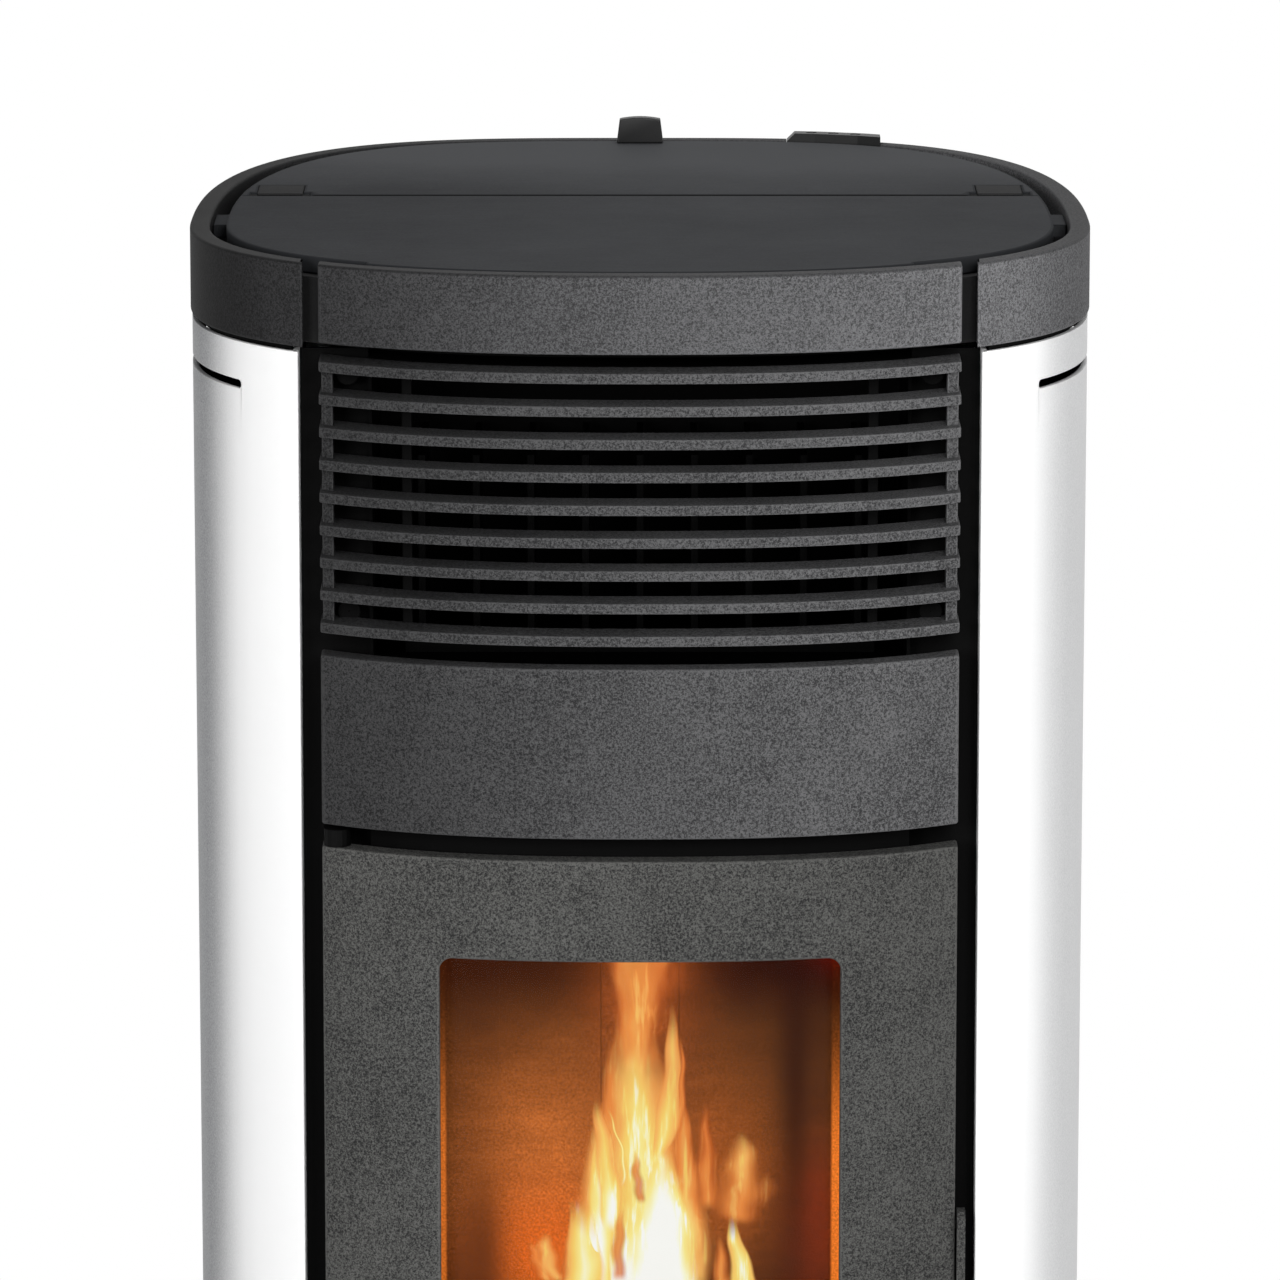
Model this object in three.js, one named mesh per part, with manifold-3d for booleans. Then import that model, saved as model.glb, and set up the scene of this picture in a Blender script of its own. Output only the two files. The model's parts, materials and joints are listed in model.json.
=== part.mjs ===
// Free-standing pellet stove: cast front and crown, white side panels, hopper under a hinged top lid.
// Millimetres, +Z up, front towards -Y, origin on the floor under the middle of the stove.
import * as THREE from 'three';
import { mergeVertices } from 'three/addons/utils/BufferGeometryUtils.js';
import Module from 'manifold-3d';

const wasm = await Module();
wasm.setup();

// ---- Driving dimensions -------------------------------------------------------------------------

// Outline of the stove seen from above: a front and a rear half superellipse on one widest line.
const width = 543;
const frontDepth = 213;
const rearDepth = 342;
const frontPower = 2.42;
const rearWidthPower = 3.5;
const rearDepthPower = 2.5;
const height = 1105;

// Clearances.
const seat = 0.3;
const running = 0.15;
const turning = 2;

// Crown and top.
const crownHeight = 50.5;
const crownWall = 12;
const crownGap = 12.3;
const webWall = 8;
const webReach = 40;
const channelWidth = 10;
const plateThickness = 10;
const plateFrontGap = 2;
const plateRearGap = 2.5;
const legRadius = 8;
const legFrontY = 150;
const legRearSetback = 71.5;
const deckThickness = 4;
const castBevel = 1.2;

// Front castings.
const castSetback = 83;
const castWall = 12;
const fasciaHeight = 46.7;
const earRadius = 7;
const earSetback = 16.5;
const slatCount = 9;
const slatPitch = 19.5;
const slatThickness = 6.2;
const slatDepth = 25;
const grilleDrop = 57.7;
const grillePost = 8;
const grillePostSetback = 9;
const grilleRibSetback = 54.5;
const grilleRibWidth = 6;
const grilleRibDepth = 7;
const castGap = 13.5;
const middleHeight = 102.2;
const middleLip = 16.5;
const middleLipThickness = 6;

// Door.
const doorWall = 15;
const windowMargin = 69.8;
const windowDrop = 61;
const windowRise = 69;
const windowRadius = 8;
const glassThickness = 4;
const glassOverlap = 12;
const retainerThickness = 2;
const retainerWidth = 10;
const gasketThickness = 9;
const gasketWidth = 10;
const gasketSetback = 30.5;
const gasketMargin = 36;
const hingeInset = 7.5;
const hingeFromEdge = 9;
const hingePinRadius = 4;
const hingePinDepth = 22;
const hingeArm = 8;

// Door handle, in the gap beside the door's free edge.
const handleThickness = 5;
const handleWidth = 17;
const handleLength = 112;
const handleHead = 11;
const handleRise = 214;
const handlePinRadius = 4;
const handleBossRadius = 9;
const handleBossLength = 12;
const clawReach = 13;
const clawHeight = 9;

// Ash drawer and lower casting.
const drawerFrontHeight = 115.5;
const lowerFasciaHeight = 134;
const toeGap = 5.4;
const panClearance = 25;
const panWall = 2.5;
const panDepth = 190;
const panHeight = 88;
const ledgeThickness = 3;
const panBossRadius = 9;
const panBossSetback = 45;

// Frame, base and sheet metal.
const footRadius = 20;
const footPad = 9;
const footStem = 6;
const footRise = 20;
const footSetback = 86.5;
const footFrontY = -165;
const footRearY = 180;
const baseThickness = 4;
const panelThickness = 3;
const panelInset = 1;
const panelGap = 2;
const panelFlange = 28;
const panelSlotDrop = 24;
const panelSlotHeight = 5.5;
const panelSlotSetback = 35.5;
const rearPanelY = 221;
const rearPanelThickness = 2;
const frameWall = 2.5;
const frameSetback = 28.5;
const frameFrontSetback = 74.5;
const louvreCount = 9;
const louvreWidth = 60;
const louvreHeight = 5;
const louvrePitch = 14;
const louvreDrop = 270;
const louvreSpread = 120;
const rearPanelOverlap = 39.6;
const panelRearOverlap = 40;
const frameFlangeDepth = 22;
const ledgeReach = 14;
const ledgeRunOut = 30;

// Firebox.
const fireboxWall = 4;
const fireboxRearY = 15;
const fireboxRise = 24.1;
const fireboxRoofDrop = 25.1;
const mouthSetback = 20;
const mouthMargin = 14;
const liningThickness = 12;
const liningRibs = 9;
const liningRibDepth = 5;
const baffleDrop = 120;
const baffleThickness = 8;
const baffleGap = 40;
const smokeHoleDrop = 20;
const smokeHoleHeight = 50;
const holderHalf = 75;
const holderDepth = 110;
const holderHeight = 62;
const holderY = -80;
const potTop = 62;
const potBottom = 46;
const potHeight = 48;
const potWall = 4;
const potRim = 8;
const potRimThickness = 4;
const potHoleRadius = 3;
const potHolePitch = 15;
const potFloorDepth = 32;
const potMouthDepth = 42;
const igniterRadius = 5;
const igniterTail = 40;
const ashSlotDepth = 40;

// Warm air.
const hoodWall = 2;
const hoodRearY = -50;
const finCount = 9;
const finThickness = 4;
const finHeight = 120;
const finDepth = 110;
const finGap = 12;
const finLip = 10;
const finSetback = 30;

// Hopper, lid and feed.
const hopperSetback = 10;
const hopperFrontY = 50;
const hopperRearY = 206;
const hopperWall = 3;
const hopperOutletHalf = 30;
const hopperOutletY = 170;
const hopperOutletDrop = 360;
const hopperShoulder = 150;
const lidGasketWidth = 10;
const lidGasketHeight = 4;
const lidLineY = 35;
const lidGap = 4.8;
const lidBlockSetback = 35.5;
const lidBlockWidth = 28;
const lidBlockDepth = 38;
const lidBlockThickness = 8;
const lidPinRadius = 2.5;
const lidPinDrop = 3.8;
const lidLug = 4;
const knobWidth = 30;
const knobShoulder = 26;
const knobShoulderHeight = 15.4;
const knobHeight = 17;
const knobDepth = 9;
const knobSetback = 13;
const augerTilt = 20;
const augerFootY = 138;
const augerFootDrop = 460;
const augerTubeRadius = 31;
const augerTubeWall = 2.5;
const augerTubeLength = 262;
const collarDrop = 55;
const augerFlightRadius = 26.5;
const augerShaftRadius = 9;
const augerPitch = 48;
const augerFlight = 3;
const augerTurnSteps = 8;
const chuteHalf = 24;
const chuteWall = 2.5;
const chuteDrop = 45;
const chuteClearance = 60;
const motorRadius = 30;
const motorLength = 62;
const gearboxSize = 70;
const gearboxHeight = 24;

// Fans and ducts.
const exhaustClearance = 8;
const exhaustHalf = 62;
const exhaustHeight = 136;
const exhaustDepth = 60;
const exhaustWall = 3;
const impellerRadius = 50;
const impellerWidth = 22;
const impellerBlades = 8;
const exhaustMotorRadius = 32;
const exhaustMotorLength = 58;
const shaftRadius = 5;
const riserHalf = 30;
const riserDepth = 36;
const riserWall = 2.5;
const flueRadius = 40;
const flueWall = 2;
const flueOverhang = 48;
const roomFanClearance = 30;
const roomFanHalf = 50;
const roomFanRadius = 58;
const roomFanY = 110;
const roomFanWall = 3;
const rotorRadius = 42;
const rotorBlades = 14;
const rotorRim = 5;
const airInletSetback = 76;
const airInletRadius = 25;
const airInletWall = 2;
const airInletOverhang = 40;

// Electrics.
const boardWidth = 60;
const boardHeight = 140;
const boardDepth = 22;
const boardSetback = 32;
const boardRise = 60;
const controlInner = 94.5;
const controlWidth = 59.5;
const controlRise = 5;
const controlHeight = 44;
const buttonRadius = 3.2;
const buttonTravel = 1;
const buttonRecess = 0.4;
const buttonWell = 6;
const buttonPitch = 14;
const inletX = 110;
const inletZ = 90;
const inletWidth = 30;
const inletHeight = 48;
const inletDepth = 24;
const inletFlange = 2;
const rockerWidth = 18;
const rockerHeight = 13;
const resetRadius = 6;
const resetTravel = 2;

// ---- Sizes that follow --------------------------------------------------------------------------

const halfWidth = width / 2;
const widestY = (frontDepth - rearDepth) / 2;
const rearY = widestY + rearDepth;
const frameFrontY = frameFrontSetback - rearY;
const castHalf = halfWidth - castSetback;
const earX = castHalf - earSetback;
const windowHalf = castHalf - windowMargin;
const gasketHalf = castHalf - gasketSetback;
const grilleRibX = castHalf - grilleRibSetback;
const frameHalf = castHalf - frameSetback;
const mouthHalf = frameHalf - mouthSetback;
const hopperHalf = frameHalf - hopperSetback;
const panHalf = frameHalf - panClearance;
const panBossX = panHalf - panBossSetback;
const footX = halfWidth - footSetback;
const panelFrontX = castHalf + crownGap;
const panelSlotX = halfWidth - panelSlotSetback;
const lidBlockOuter = halfWidth - lidBlockSetback;
const lidBlockInner = lidBlockOuter - lidBlockWidth;
const boardX = frameHalf - boardSetback;
const airInletX = frameHalf - airInletSetback;
const exhaustX = exhaustHalf + exhaustClearance - frameHalf;
const roomFanX = frameHalf - roomFanClearance - roomFanHalf;
const crownBottom = height - crownHeight;
const deckTop = crownBottom - seat;
const deckBottom = deckTop - deckThickness;
const plateBottom = height - plateThickness;
const fasciaBottom = height - fasciaHeight;
const grilleTop = height - grilleDrop;
const grilleBottom = grilleTop - (slatCount - 1) * slatPitch - slatThickness;
const middleTop = grilleBottom - castGap;
const middleBottom = middleTop - middleHeight;
const doorTop = middleBottom - castGap;
const baseTop = footRise + baseThickness;
const lowerBottom = baseTop + toeGap;
const lowerTop = lowerBottom + lowerFasciaHeight;
const drawerBottom = lowerTop + castGap;
const drawerTop = drawerBottom + drawerFrontHeight;
const doorBottom = drawerTop + castGap;
const windowTop = doorTop - windowDrop;
const windowBottom = doorBottom + windowRise;
const frameBottom = baseTop + seat;
const frameTop = deckBottom - seat;
const panelTop = crownBottom - panelGap;
const panelInner = panelInset + panelThickness;
const fireboxFloor = doorBottom + fireboxRise;
const fireboxTop = grilleBottom - fireboxRoofDrop;
const hopperOutletZ = fireboxTop - hopperOutletDrop;
const augerFootZ = fireboxTop - augerFootDrop;
const boardZ = hopperOutletZ + boardRise;
const glassInset = doorWall + seat;
const gasketInset = doorWall + seat;
const surroundInset = gasketInset + gasketThickness + seat;
const gasketTop = windowTop + gasketMargin;
const gasketBottom = windowBottom - gasketMargin;

// ---- Solids from three.js shapes ----------------------------------------------------------------

const curveSteps = 14;
const slatSteps = 10;
const endSteps = 6;
const roundSteps = 16;
const wheelSteps = 20;
const noseSteps = 16;
const pinSteps = 16;
const slimSteps = 12;
const holeSteps = 6;
const bodyX = new THREE.Vector3(1, 0, 0);
const bodyY = new THREE.Vector3(0, 1, 0);
const bodyZ = new THREE.Vector3(0, 0, 1);

function solid(geometry) {
  geometry.deleteAttribute('normal');
  geometry.deleteAttribute('uv');
  const merged = mergeVertices(geometry, 1e-4);
  return new wasm.Manifold(new wasm.Mesh({
    numProp: 3,
    vertProperties: new Float32Array(merged.attributes.position.array),
    triVerts: new Uint32Array(merged.index.array),
  }));
}

function join(first, ...others) {
  return others.reduce((whole, other) => whole.add(other), first);
}

function cut(first, ...others) {
  return others.reduce((whole, other) => whole.subtract(other), first);
}

// A straight-sided block between two corners.
function box(x0, x1, y0, y1, z0, z1) {
  const geometry = new THREE.BoxGeometry(x1 - x0, y1 - y0, z1 - z0);
  geometry.translate((x0 + x1) / 2, (y0 + y1) / 2, (z0 + z1) / 2);
  return solid(geometry);
}

// An outline of [x, y] points, extruded upwards; an edge bevel rounds off a casting.
function upright(points, bottom, top, bevel = 0) {
  const geometry = new THREE.ExtrudeGeometry(new THREE.Shape(points), {
    depth: top - bottom - 2 * bevel,
    bevelEnabled: bevel > 0,
    bevelThickness: bevel,
    bevelSize: bevel,
    bevelOffset: -bevel,
    bevelSegments: 1,
  });
  geometry.translate(0, 0, bottom + bevel);
  return solid(geometry);
}

// An outline of [y, z] points, extruded along X.
function across(points, x0, x1) {
  const depth = x1 - x0;
  const geometry = new THREE.ExtrudeGeometry(new THREE.Shape(points), { depth, bevelEnabled: false });
  geometry.applyMatrix4(new THREE.Matrix4().makeBasis(bodyY, bodyZ, bodyX));
  geometry.translate(x0, 0, 0);
  return solid(geometry);
}

// An outline of [x, z] points, extruded along Y.
function inward(points, y0, y1) {
  const depth = y1 - y0;
  const geometry = new THREE.ExtrudeGeometry(new THREE.Shape(points), { depth, bevelEnabled: false });
  geometry.applyMatrix4(new THREE.Matrix4().makeBasis(bodyX, bodyZ, bodyY.clone().negate()));
  geometry.translate(0, y1, 0);
  return solid(geometry);
}

function rod(radius, axis, start, end, steps = roundSteps) {
  const geometry = new THREE.CylinderGeometry(radius, radius, 1, steps);
  const length = end.clone().sub(start).dot(axis);
  geometry.scale(1, length, 1);
  geometry.applyQuaternion(new THREE.Quaternion().setFromUnitVectors(bodyY, axis));
  const middle = start.clone().addScaledVector(axis, length / 2);
  geometry.translate(middle.x, middle.y, middle.z);
  return solid(geometry);
}

function rodX(radius, x0, x1, y, z, steps) {
  return rod(radius, bodyX, new THREE.Vector3(x0, y, z), new THREE.Vector3(x1, y, z), steps);
}

function rodY(radius, x, y0, y1, z, steps) {
  return rod(radius, bodyY, new THREE.Vector3(x, y0, z), new THREE.Vector3(x, y1, z), steps);
}

function rodZ(radius, x, y, z0, z1, steps) {
  return rod(radius, bodyZ, new THREE.Vector3(x, y, z0), new THREE.Vector3(x, y, z1), steps);
}

// A block whose top and bottom rectangles differ: {x0, x1, y0, y1, z} each.
function taper(low, high) {
  const geometry = new THREE.BoxGeometry(1, 1, 1);
  const place = geometry.attributes.position;
  for (let i = 0; i < place.count; i += 1) {
    const end = place.getZ(i) > 0 ? high : low;
    const x = place.getX(i) > 0 ? end.x1 : end.x0;
    const y = place.getY(i) > 0 ? end.y1 : end.y0;
    place.setXYZ(i, x, y, end.z);
  }
  return solid(geometry);
}

// A bore for a turning pin, drawn so that its flats clear the pin all round.
const boreFor = (radius) => (radius + running) / Math.cos(Math.PI / pinSteps);

function roundedRectangle(x0, x1, y0, y1, radius) {
  const shape = new THREE.Shape();
  shape.moveTo(x0 + radius, y0);
  shape.lineTo(x1 - radius, y0);
  shape.absarc(x1 - radius, y0 + radius, radius, -Math.PI / 2, 0);
  shape.lineTo(x1, y1 - radius);
  shape.absarc(x1 - radius, y1 - radius, radius, 0, Math.PI / 2);
  shape.lineTo(x0 + radius, y1);
  shape.absarc(x0 + radius, y1 - radius, radius, Math.PI / 2, Math.PI);
  shape.lineTo(x0, y0 + radius);
  shape.absarc(x0 + radius, y0 + radius, radius, Math.PI, 1.5 * Math.PI);
  return shape.getPoints(4);
}

// ---- The stove's outline ------------------------------------------------------------------------

// Angle 0 is the right side, a quarter turn is the rear and minus a quarter turn the front.
function superellipse(angle) {
  const c = Math.cos(angle);
  const s = Math.sin(angle);
  const widthPower = s < 0 ? frontPower : rearWidthPower;
  const depthPower = s < 0 ? frontPower : rearDepthPower;
  const u = Math.sign(c) * Math.abs(c) ** (2 / widthPower);
  const v = Math.sign(s) * Math.abs(s) ** (2 / depthPower);
  return { u, v, widthPower, depthPower };
}

function outlinePoint(angle, inset) {
  const { u, v, widthPower, depthPower } = superellipse(angle);
  const depth = v < 0 ? frontDepth : rearDepth;
  const normal = new THREE.Vector2(
    widthPower * Math.sign(u) * Math.abs(u) ** (widthPower - 1) / halfWidth,
    depthPower * Math.sign(v) * Math.abs(v) ** (depthPower - 1) / depth,
  ).normalize();
  return new THREE.Vector2(halfWidth * u, widestY + depth * v).addScaledVector(normal, -inset);
}

// The angle on the right-hand side at which the inset outline reaches a given x.
function outlineAngle(x, inset, atRear) {
  let low = atRear ? Math.PI / 2 : -Math.PI / 2;
  let high = 0;
  for (let i = 0; i < 40; i += 1) {
    const middle = (low + high) / 2;
    if (outlinePoint(middle, inset).x < x) {
      low = middle;
    } else {
      high = middle;
    }
  }
  return (low + high) / 2;
}

function arc(from, to, inset, steps) {
  const points = [];
  for (let i = 0; i <= steps; i += 1) {
    points.push(outlinePoint(from + (to - from) * i / steps, inset));
  }
  return points;
}

function frontArc(half, inset, steps = curveSteps) {
  const end = outlineAngle(half, inset, false);
  return arc(-Math.PI - end, end, inset, steps);
}

// A band that follows the front of the stove between two insets, with ends square to X.
function frontBand(half, outer, inner, bottom, top, bevel = 0, steps = curveSteps) {
  const points = [...frontArc(half, outer, steps), ...frontArc(half, inner, steps).reverse()];
  return upright(points, bottom, top, bevel);
}

// The same on one side of the stove, from a place near the front to one near the rear.
function sideBand(side, frontX, rearX, outer, inner, bottom, top) {
  const run = (inset) => arc(
    outlineAngle(frontX, inset, false), outlineAngle(rearX, inset, true), inset, 2 * curveSteps,
  );
  const points = [...run(outer), ...run(inner).reverse()];
  return upright(points.map((p) => new THREE.Vector2(side * p.x, p.y)), bottom, top);
}

function frontY(x, inset) {
  return outlinePoint(outlineAngle(Math.abs(x), inset, false), inset).y;
}

// Round lugs that reach from a front casting back to the side frames.
function ears(inset, z) {
  return [-1, 1].map((side) => rodY(
    earRadius, side * earX, frontY(earX, inset) - castWall / 3, frameFrontY - seat, z, slimSteps,
  ));
}

// ---- Materials ----------------------------------------------------------------------------------

function material(color, roughness, metalness, extra = {}) {
  return new THREE.MeshStandardMaterial({ color, roughness, metalness, ...extra });
}

const finishes = {
  castIron: () => material(0x4a4a4b, 0.62, 0.55),
  topPlate: () => material(0x3f4042, 0.55, 0.5),
  whiteEnamel: () => material(0xf3f3f1, 0.38, 0.0),
  blackSteel: () => material(0x161617, 0.6, 0.4),
  steel: () => material(0xa9abae, 0.35, 0.9),
  rawSteel: () => material(0x6d6f72, 0.5, 0.8),
  glass: () => material(0x3a2418, 0.06, 0.0, { transparent: true, opacity: 0.35 }),
  rope: () => material(0x2a2927, 0.95, 0.0),
  lining: () => material(0x3a332d, 0.9, 0.0),
  plastic: () => material(0x1d1d1f, 0.5, 0.0),
};

const stove = new THREE.Group();
stove.name = 'pellet_stove';

function add(name, shape, finish) {
  const mesh = shape.getMesh();
  const geometry = new THREE.BufferGeometry();
  geometry.setAttribute('position', new THREE.BufferAttribute(new Float32Array(mesh.vertProperties), 3));
  geometry.setIndex(new THREE.BufferAttribute(new Uint32Array(mesh.triVerts), 1));
  geometry.computeVertexNormals();
  const node = new THREE.Mesh(geometry, finishes[finish]());
  node.name = name;
  stove.add(node);
}

const sides = [['left', -1], ['right', 1]];

// ---- Base, feet and frame -----------------------------------------------------------------------

const footPlaces = [
  ['foot_front_left', -footX, footFrontY],
  ['foot_front_right', footX, footFrontY],
  ['foot_rear_left', -footX, footRearY],
  ['foot_rear_right', footX, footRearY],
];

for (const [name, x, y] of footPlaces) {
  const profile = [
    [0, 0], [footRadius - 2, 0], [footRadius, 2], [footRadius, footPad - 3], [footRadius - 4, footPad],
    [footStem + 4, footPad + 1], [footStem + 4, footRise - seat], [footStem, footRise - seat],
    [footStem, baseTop + 2], [0, baseTop + 2],
  ];
  const geometry = new THREE.LatheGeometry(profile.map(([r, z]) => new THREE.Vector2(r, z)), roundSteps);
  geometry.rotateX(Math.PI / 2);
  geometry.translate(x, y, 0);
  add(name, solid(geometry), 'plastic');
}

const wholeOutline = (inset) => arc(-Math.PI / 2, 1.5 * Math.PI, inset, 4 * curveSteps).slice(0, -1);
const baseInset = panelInner + seat;
const base = cut(
  upright(wholeOutline(baseInset), footRise, baseTop),
  box(-width, width, rearPanelY + rearPanelThickness, 2 * rearY, 0, height),
  ...footPlaces.map(([, x, y]) => rodZ(footStem + seat, x, y, 0, height)),
);
add('base_plate', cut(base, frontBand(castHalf + 2, -1, castWall + seat, 0, height)), 'blackSteel');

// Each side frame is a folded sheet: a wall along the side of the firebox, a front flange that the
// castings screw to, and a ledge that the ash drawer slides on.
const postOuter = panelFrontX - seat;
const drawerLedgeTop = drawerTop - panHeight - 2 * seat - 4;
for (const [name, side] of sides) {
  const section = [
    [frameHalf + seat, frameFrontY],
    [postOuter, frameFrontY],
    [postOuter, frameFrontY + frameFlangeDepth],
    [postOuter - frameWall, frameFrontY + frameFlangeDepth],
    [postOuter - frameWall, frameFrontY + frameWall],
    [frameHalf + seat + frameWall, frameFrontY + frameWall],
    [frameHalf + seat + frameWall, rearPanelY - seat],
    [frameHalf + seat, rearPanelY - seat],
  ];
  const frame = upright(section.map(([x, y]) => new THREE.Vector2(side * x, y)), frameBottom, frameTop);
  const inner = side * (panHalf - ledgeReach);
  const outer = side * (frameHalf + seat + frameWall / 2);
  const ledge = box(
    Math.min(inner, outer), Math.max(inner, outer), frameFrontY, frameFrontY + panDepth + ledgeRunOut,
    drawerLedgeTop - ledgeThickness, drawerLedgeTop,
  );
  add(`side_frame_${name}`, join(frame, ledge), 'blackSteel');
}

// Side panels: one bent sheet each, folded in along its front edge, with a long slot near the top.
for (const [name, side] of sides) {
  const rearX = frameHalf + panelRearOverlap;
  const sheet = sideBand(side, panelFrontX, rearX, panelInset, panelInner, frameBottom, panelTop);
  const edgeY = frontY(panelFrontX, panelInset);
  const flangeX = [side * panelFrontX, side * (panelFrontX + panelThickness)];
  const flange = box(
    Math.min(...flangeX), Math.max(...flangeX),
    edgeY + panelThickness, edgeY + panelFlange, frameBottom, panelTop,
  );
  const slotTop = panelTop - panelSlotDrop;
  const slot = sideBand(
    side, panelSlotX, panelSlotX, -1, panelInner + 1, slotTop - panelSlotHeight, slotTop,
  );
  add(`side_panel_${name}`, cut(join(sheet, flange), slot), 'whiteEnamel');
}

// ---- Crown and top ------------------------------------------------------------------------------

function crownBand(outer, inner, endX) {
  const run = (inset) => {
    const end = outlineAngle(endX, inset, false);
    return arc(end, Math.PI - end, inset, 3 * curveSteps);
  };
  return [...run(outer), ...run(inner).reverse()];
}

const crownEndX = castHalf + crownGap - 1.5;
const webTop = height - 4;
const webBottom = crownBottom + 8;
let crown = upright(crownBand(0, crownWall, crownEndX), crownBottom, height, castBevel);
const webInset = castWall + seat;
const web = cut(
  frontBand(crownEndX + 18, webInset, webInset + webWall, webBottom, webTop),
  box(-crownEndX + webReach, crownEndX - webReach, -width, 0, 0, 2 * height),
);
const webRoot = cut(
  frontBand(crownEndX + 18, crownWall - 3, webInset + webWall, webBottom, webTop),
  box(-crownEndX - 2, crownEndX + 2, -width, 0, 0, 2 * height),
);
crown = join(crown, web, webRoot);
const controlNotchBottom = height + controlRise - controlHeight - seat;
const controlOuter = controlInner + controlWidth;
crown = cut(crown, box(
  controlInner - seat, controlOuter + seat, 0, 2 * rearY, controlNotchBottom, 2 * height,
));
add('crown', crown, 'castIron');

add('crown_fascia', frontBand(castHalf, 0, castWall, fasciaBottom, height, castBevel), 'castIron');

// The deck closes the stove under the crown; the hopper's neck passes through it.
const neckFront = hopperFrontY - seat;
const neckRear = hopperRearY + seat;
const neckHalf = hopperHalf + seat;
const deck = cut(
  upright(wholeOutline(crownWall / 2), deckBottom, deckTop),
  frontBand(panelFrontX + panelThickness + 4 * seat, -1, panelFlange + crownWall, 0, 2 * height),
  box(-neckHalf, neckHalf, neckFront, neckRear, 0, 2 * height),
);
add('top_deck', deck, 'blackSteel');

// The top plate is fixed at the front and hinged behind the line across the stove.
function plateOutline() {
  const a = halfWidth - crownWall - channelWidth;
  const front = frontDepth - castWall - plateFrontGap;
  const rear = rearDepth - crownWall - plateRearGap;
  const points = [];
  const steps = 4 * curveSteps;
  for (let i = 0; i < steps; i += 1) {
    const { u, v } = superellipse(2 * Math.PI * i / steps);
    points.push(new THREE.Vector2(a * u, widestY + (v < 0 ? front : rear) * v));
  }
  return points;
}

const plate = upright(plateOutline(), plateBottom, height, 0.8);
const behindLine = box(-width, width, lidLineY - lidGap, 2 * rearY, 0, 2 * height);
const aheadOfLine = box(-width, width, -2 * rearY, lidLineY, 0, 2 * height);
const pinZ = height - lidPinDrop;
const lidNose = plate.intersect(rodX(lidPinDrop, -width, width, lidLineY, pinZ, noseSteps));
const webClear = cut(
  frontBand(crownEndX + 20, -1, webInset + webWall + 1, 0, 2 * height),
  box(-crownEndX + webReach + 1, crownEndX - webReach - 1, -width, 0, 0, 2 * height),
);
const insideCrown = upright(wholeOutline(crownWall + seat), 0, 2 * height);
const spacerFront = -47;
const spacerRear = -7;
const plateSpacer = (side) => {
  const x = [side * halfWidth, side * (halfWidth - crownWall - channelWidth - 12)];
  return box(
    Math.min(...x), Math.max(...x), spacerFront, spacerRear, plateBottom - 4, plateBottom + 4,
  ).intersect(insideCrown);
};
const plateLegs = [-1, 1].flatMap((side) => [
  rodZ(legRadius, side * hopperHalf, -legFrontY, deckTop + seat, plateBottom + 1, slimSteps),
  rodZ(legRadius, side * (halfWidth - legRearSetback), 0, deckTop + seat, plateBottom + 1, slimSteps),
]);

// The lid's front edge is rolled round the hinge line. Hinge blocks sit in notches at its front
// corners, on pins held by two lugs each.
const notchInner = lidBlockInner - lidLug - 2 * seat;
const notchOuter = lidBlockOuter + lidLug + 2 * seat;
const lugReach = lidPinRadius + 2;
let lid = join(cut(plate, aheadOfLine), lidNose);
let frontPlate = cut(plate, behindLine, webClear);
for (const side of [-1, 1]) {
  const lugX = [side * notchInner, side * notchOuter];
  frontPlate = cut(frontPlate, box(
    Math.min(...lugX), Math.max(...lugX), lidLineY - lugReach - 1.5, rearY, 0, 2 * height,
  ));
  const blockX = [side * (lidBlockInner - seat), side * (lidBlockOuter + seat)];
  lid = cut(
    lid,
    box(Math.min(...lugX), Math.max(...lugX), -rearY, lidLineY + lugReach + 6, 0, 2 * height),
    box(
      Math.min(...blockX), Math.max(...blockX), -rearY, lidLineY + lidBlockDepth + seat,
      height - lidBlockThickness - seat, 2 * height,
    ),
  );
}
add('hopper_lid', lid, 'topPlate');
add('top_plate', join(frontPlate, ...plateLegs, plateSpacer(-1), plateSpacer(1)), 'topPlate');

for (const [name, side] of sides) {
  const x = [side * lidBlockInner, side * lidBlockOuter];
  const strap = box(
    Math.min(...x), Math.max(...x), lidLineY, lidLineY + lidBlockDepth, height - lidBlockThickness, height,
  );
  const nose = rodX(lidPinDrop, Math.min(...x), Math.max(...x), lidLineY, pinZ, noseSteps);
  const bore = rodX(boreFor(lidPinRadius), -width, width, lidLineY, pinZ, pinSteps);
  add(`lid_hinge_block_${name}`, cut(join(strap, nose), bore), 'castIron');

  const lug = (a) => {
    const lx = [side * a, side * (a + lidLug)];
    return join(
      rodX(lidPinRadius + 1.2, Math.min(...lx), Math.max(...lx), lidLineY, pinZ, noseSteps),
      box(
        Math.min(...lx), Math.max(...lx), lidLineY - lidPinRadius - 1.2, lidLineY + lidPinRadius + 1.2,
        deckTop + seat, pinZ,
      ),
    );
  };
  const innerLug = lidBlockInner - lidLug - seat;
  const outerLug = lidBlockOuter + seat;
  const footPlate = [side * innerLug, side * (outerLug + lidLug)];
  const pin = rodX(
    lidPinRadius, Math.min(...footPlate) + 1, Math.max(...footPlate) - 1, lidLineY, pinZ, noseSteps,
  );
  add(`lid_hinge_bracket_${name}`, join(
    lug(innerLug),
    lug(outerLug),
    pin,
    box(
      Math.min(...footPlate), Math.max(...footPlate), lidLineY - 12, lidLineY + 12,
      deckTop + seat, deckTop + seat + 3,
    ),
  ), 'blackSteel');
}

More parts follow.
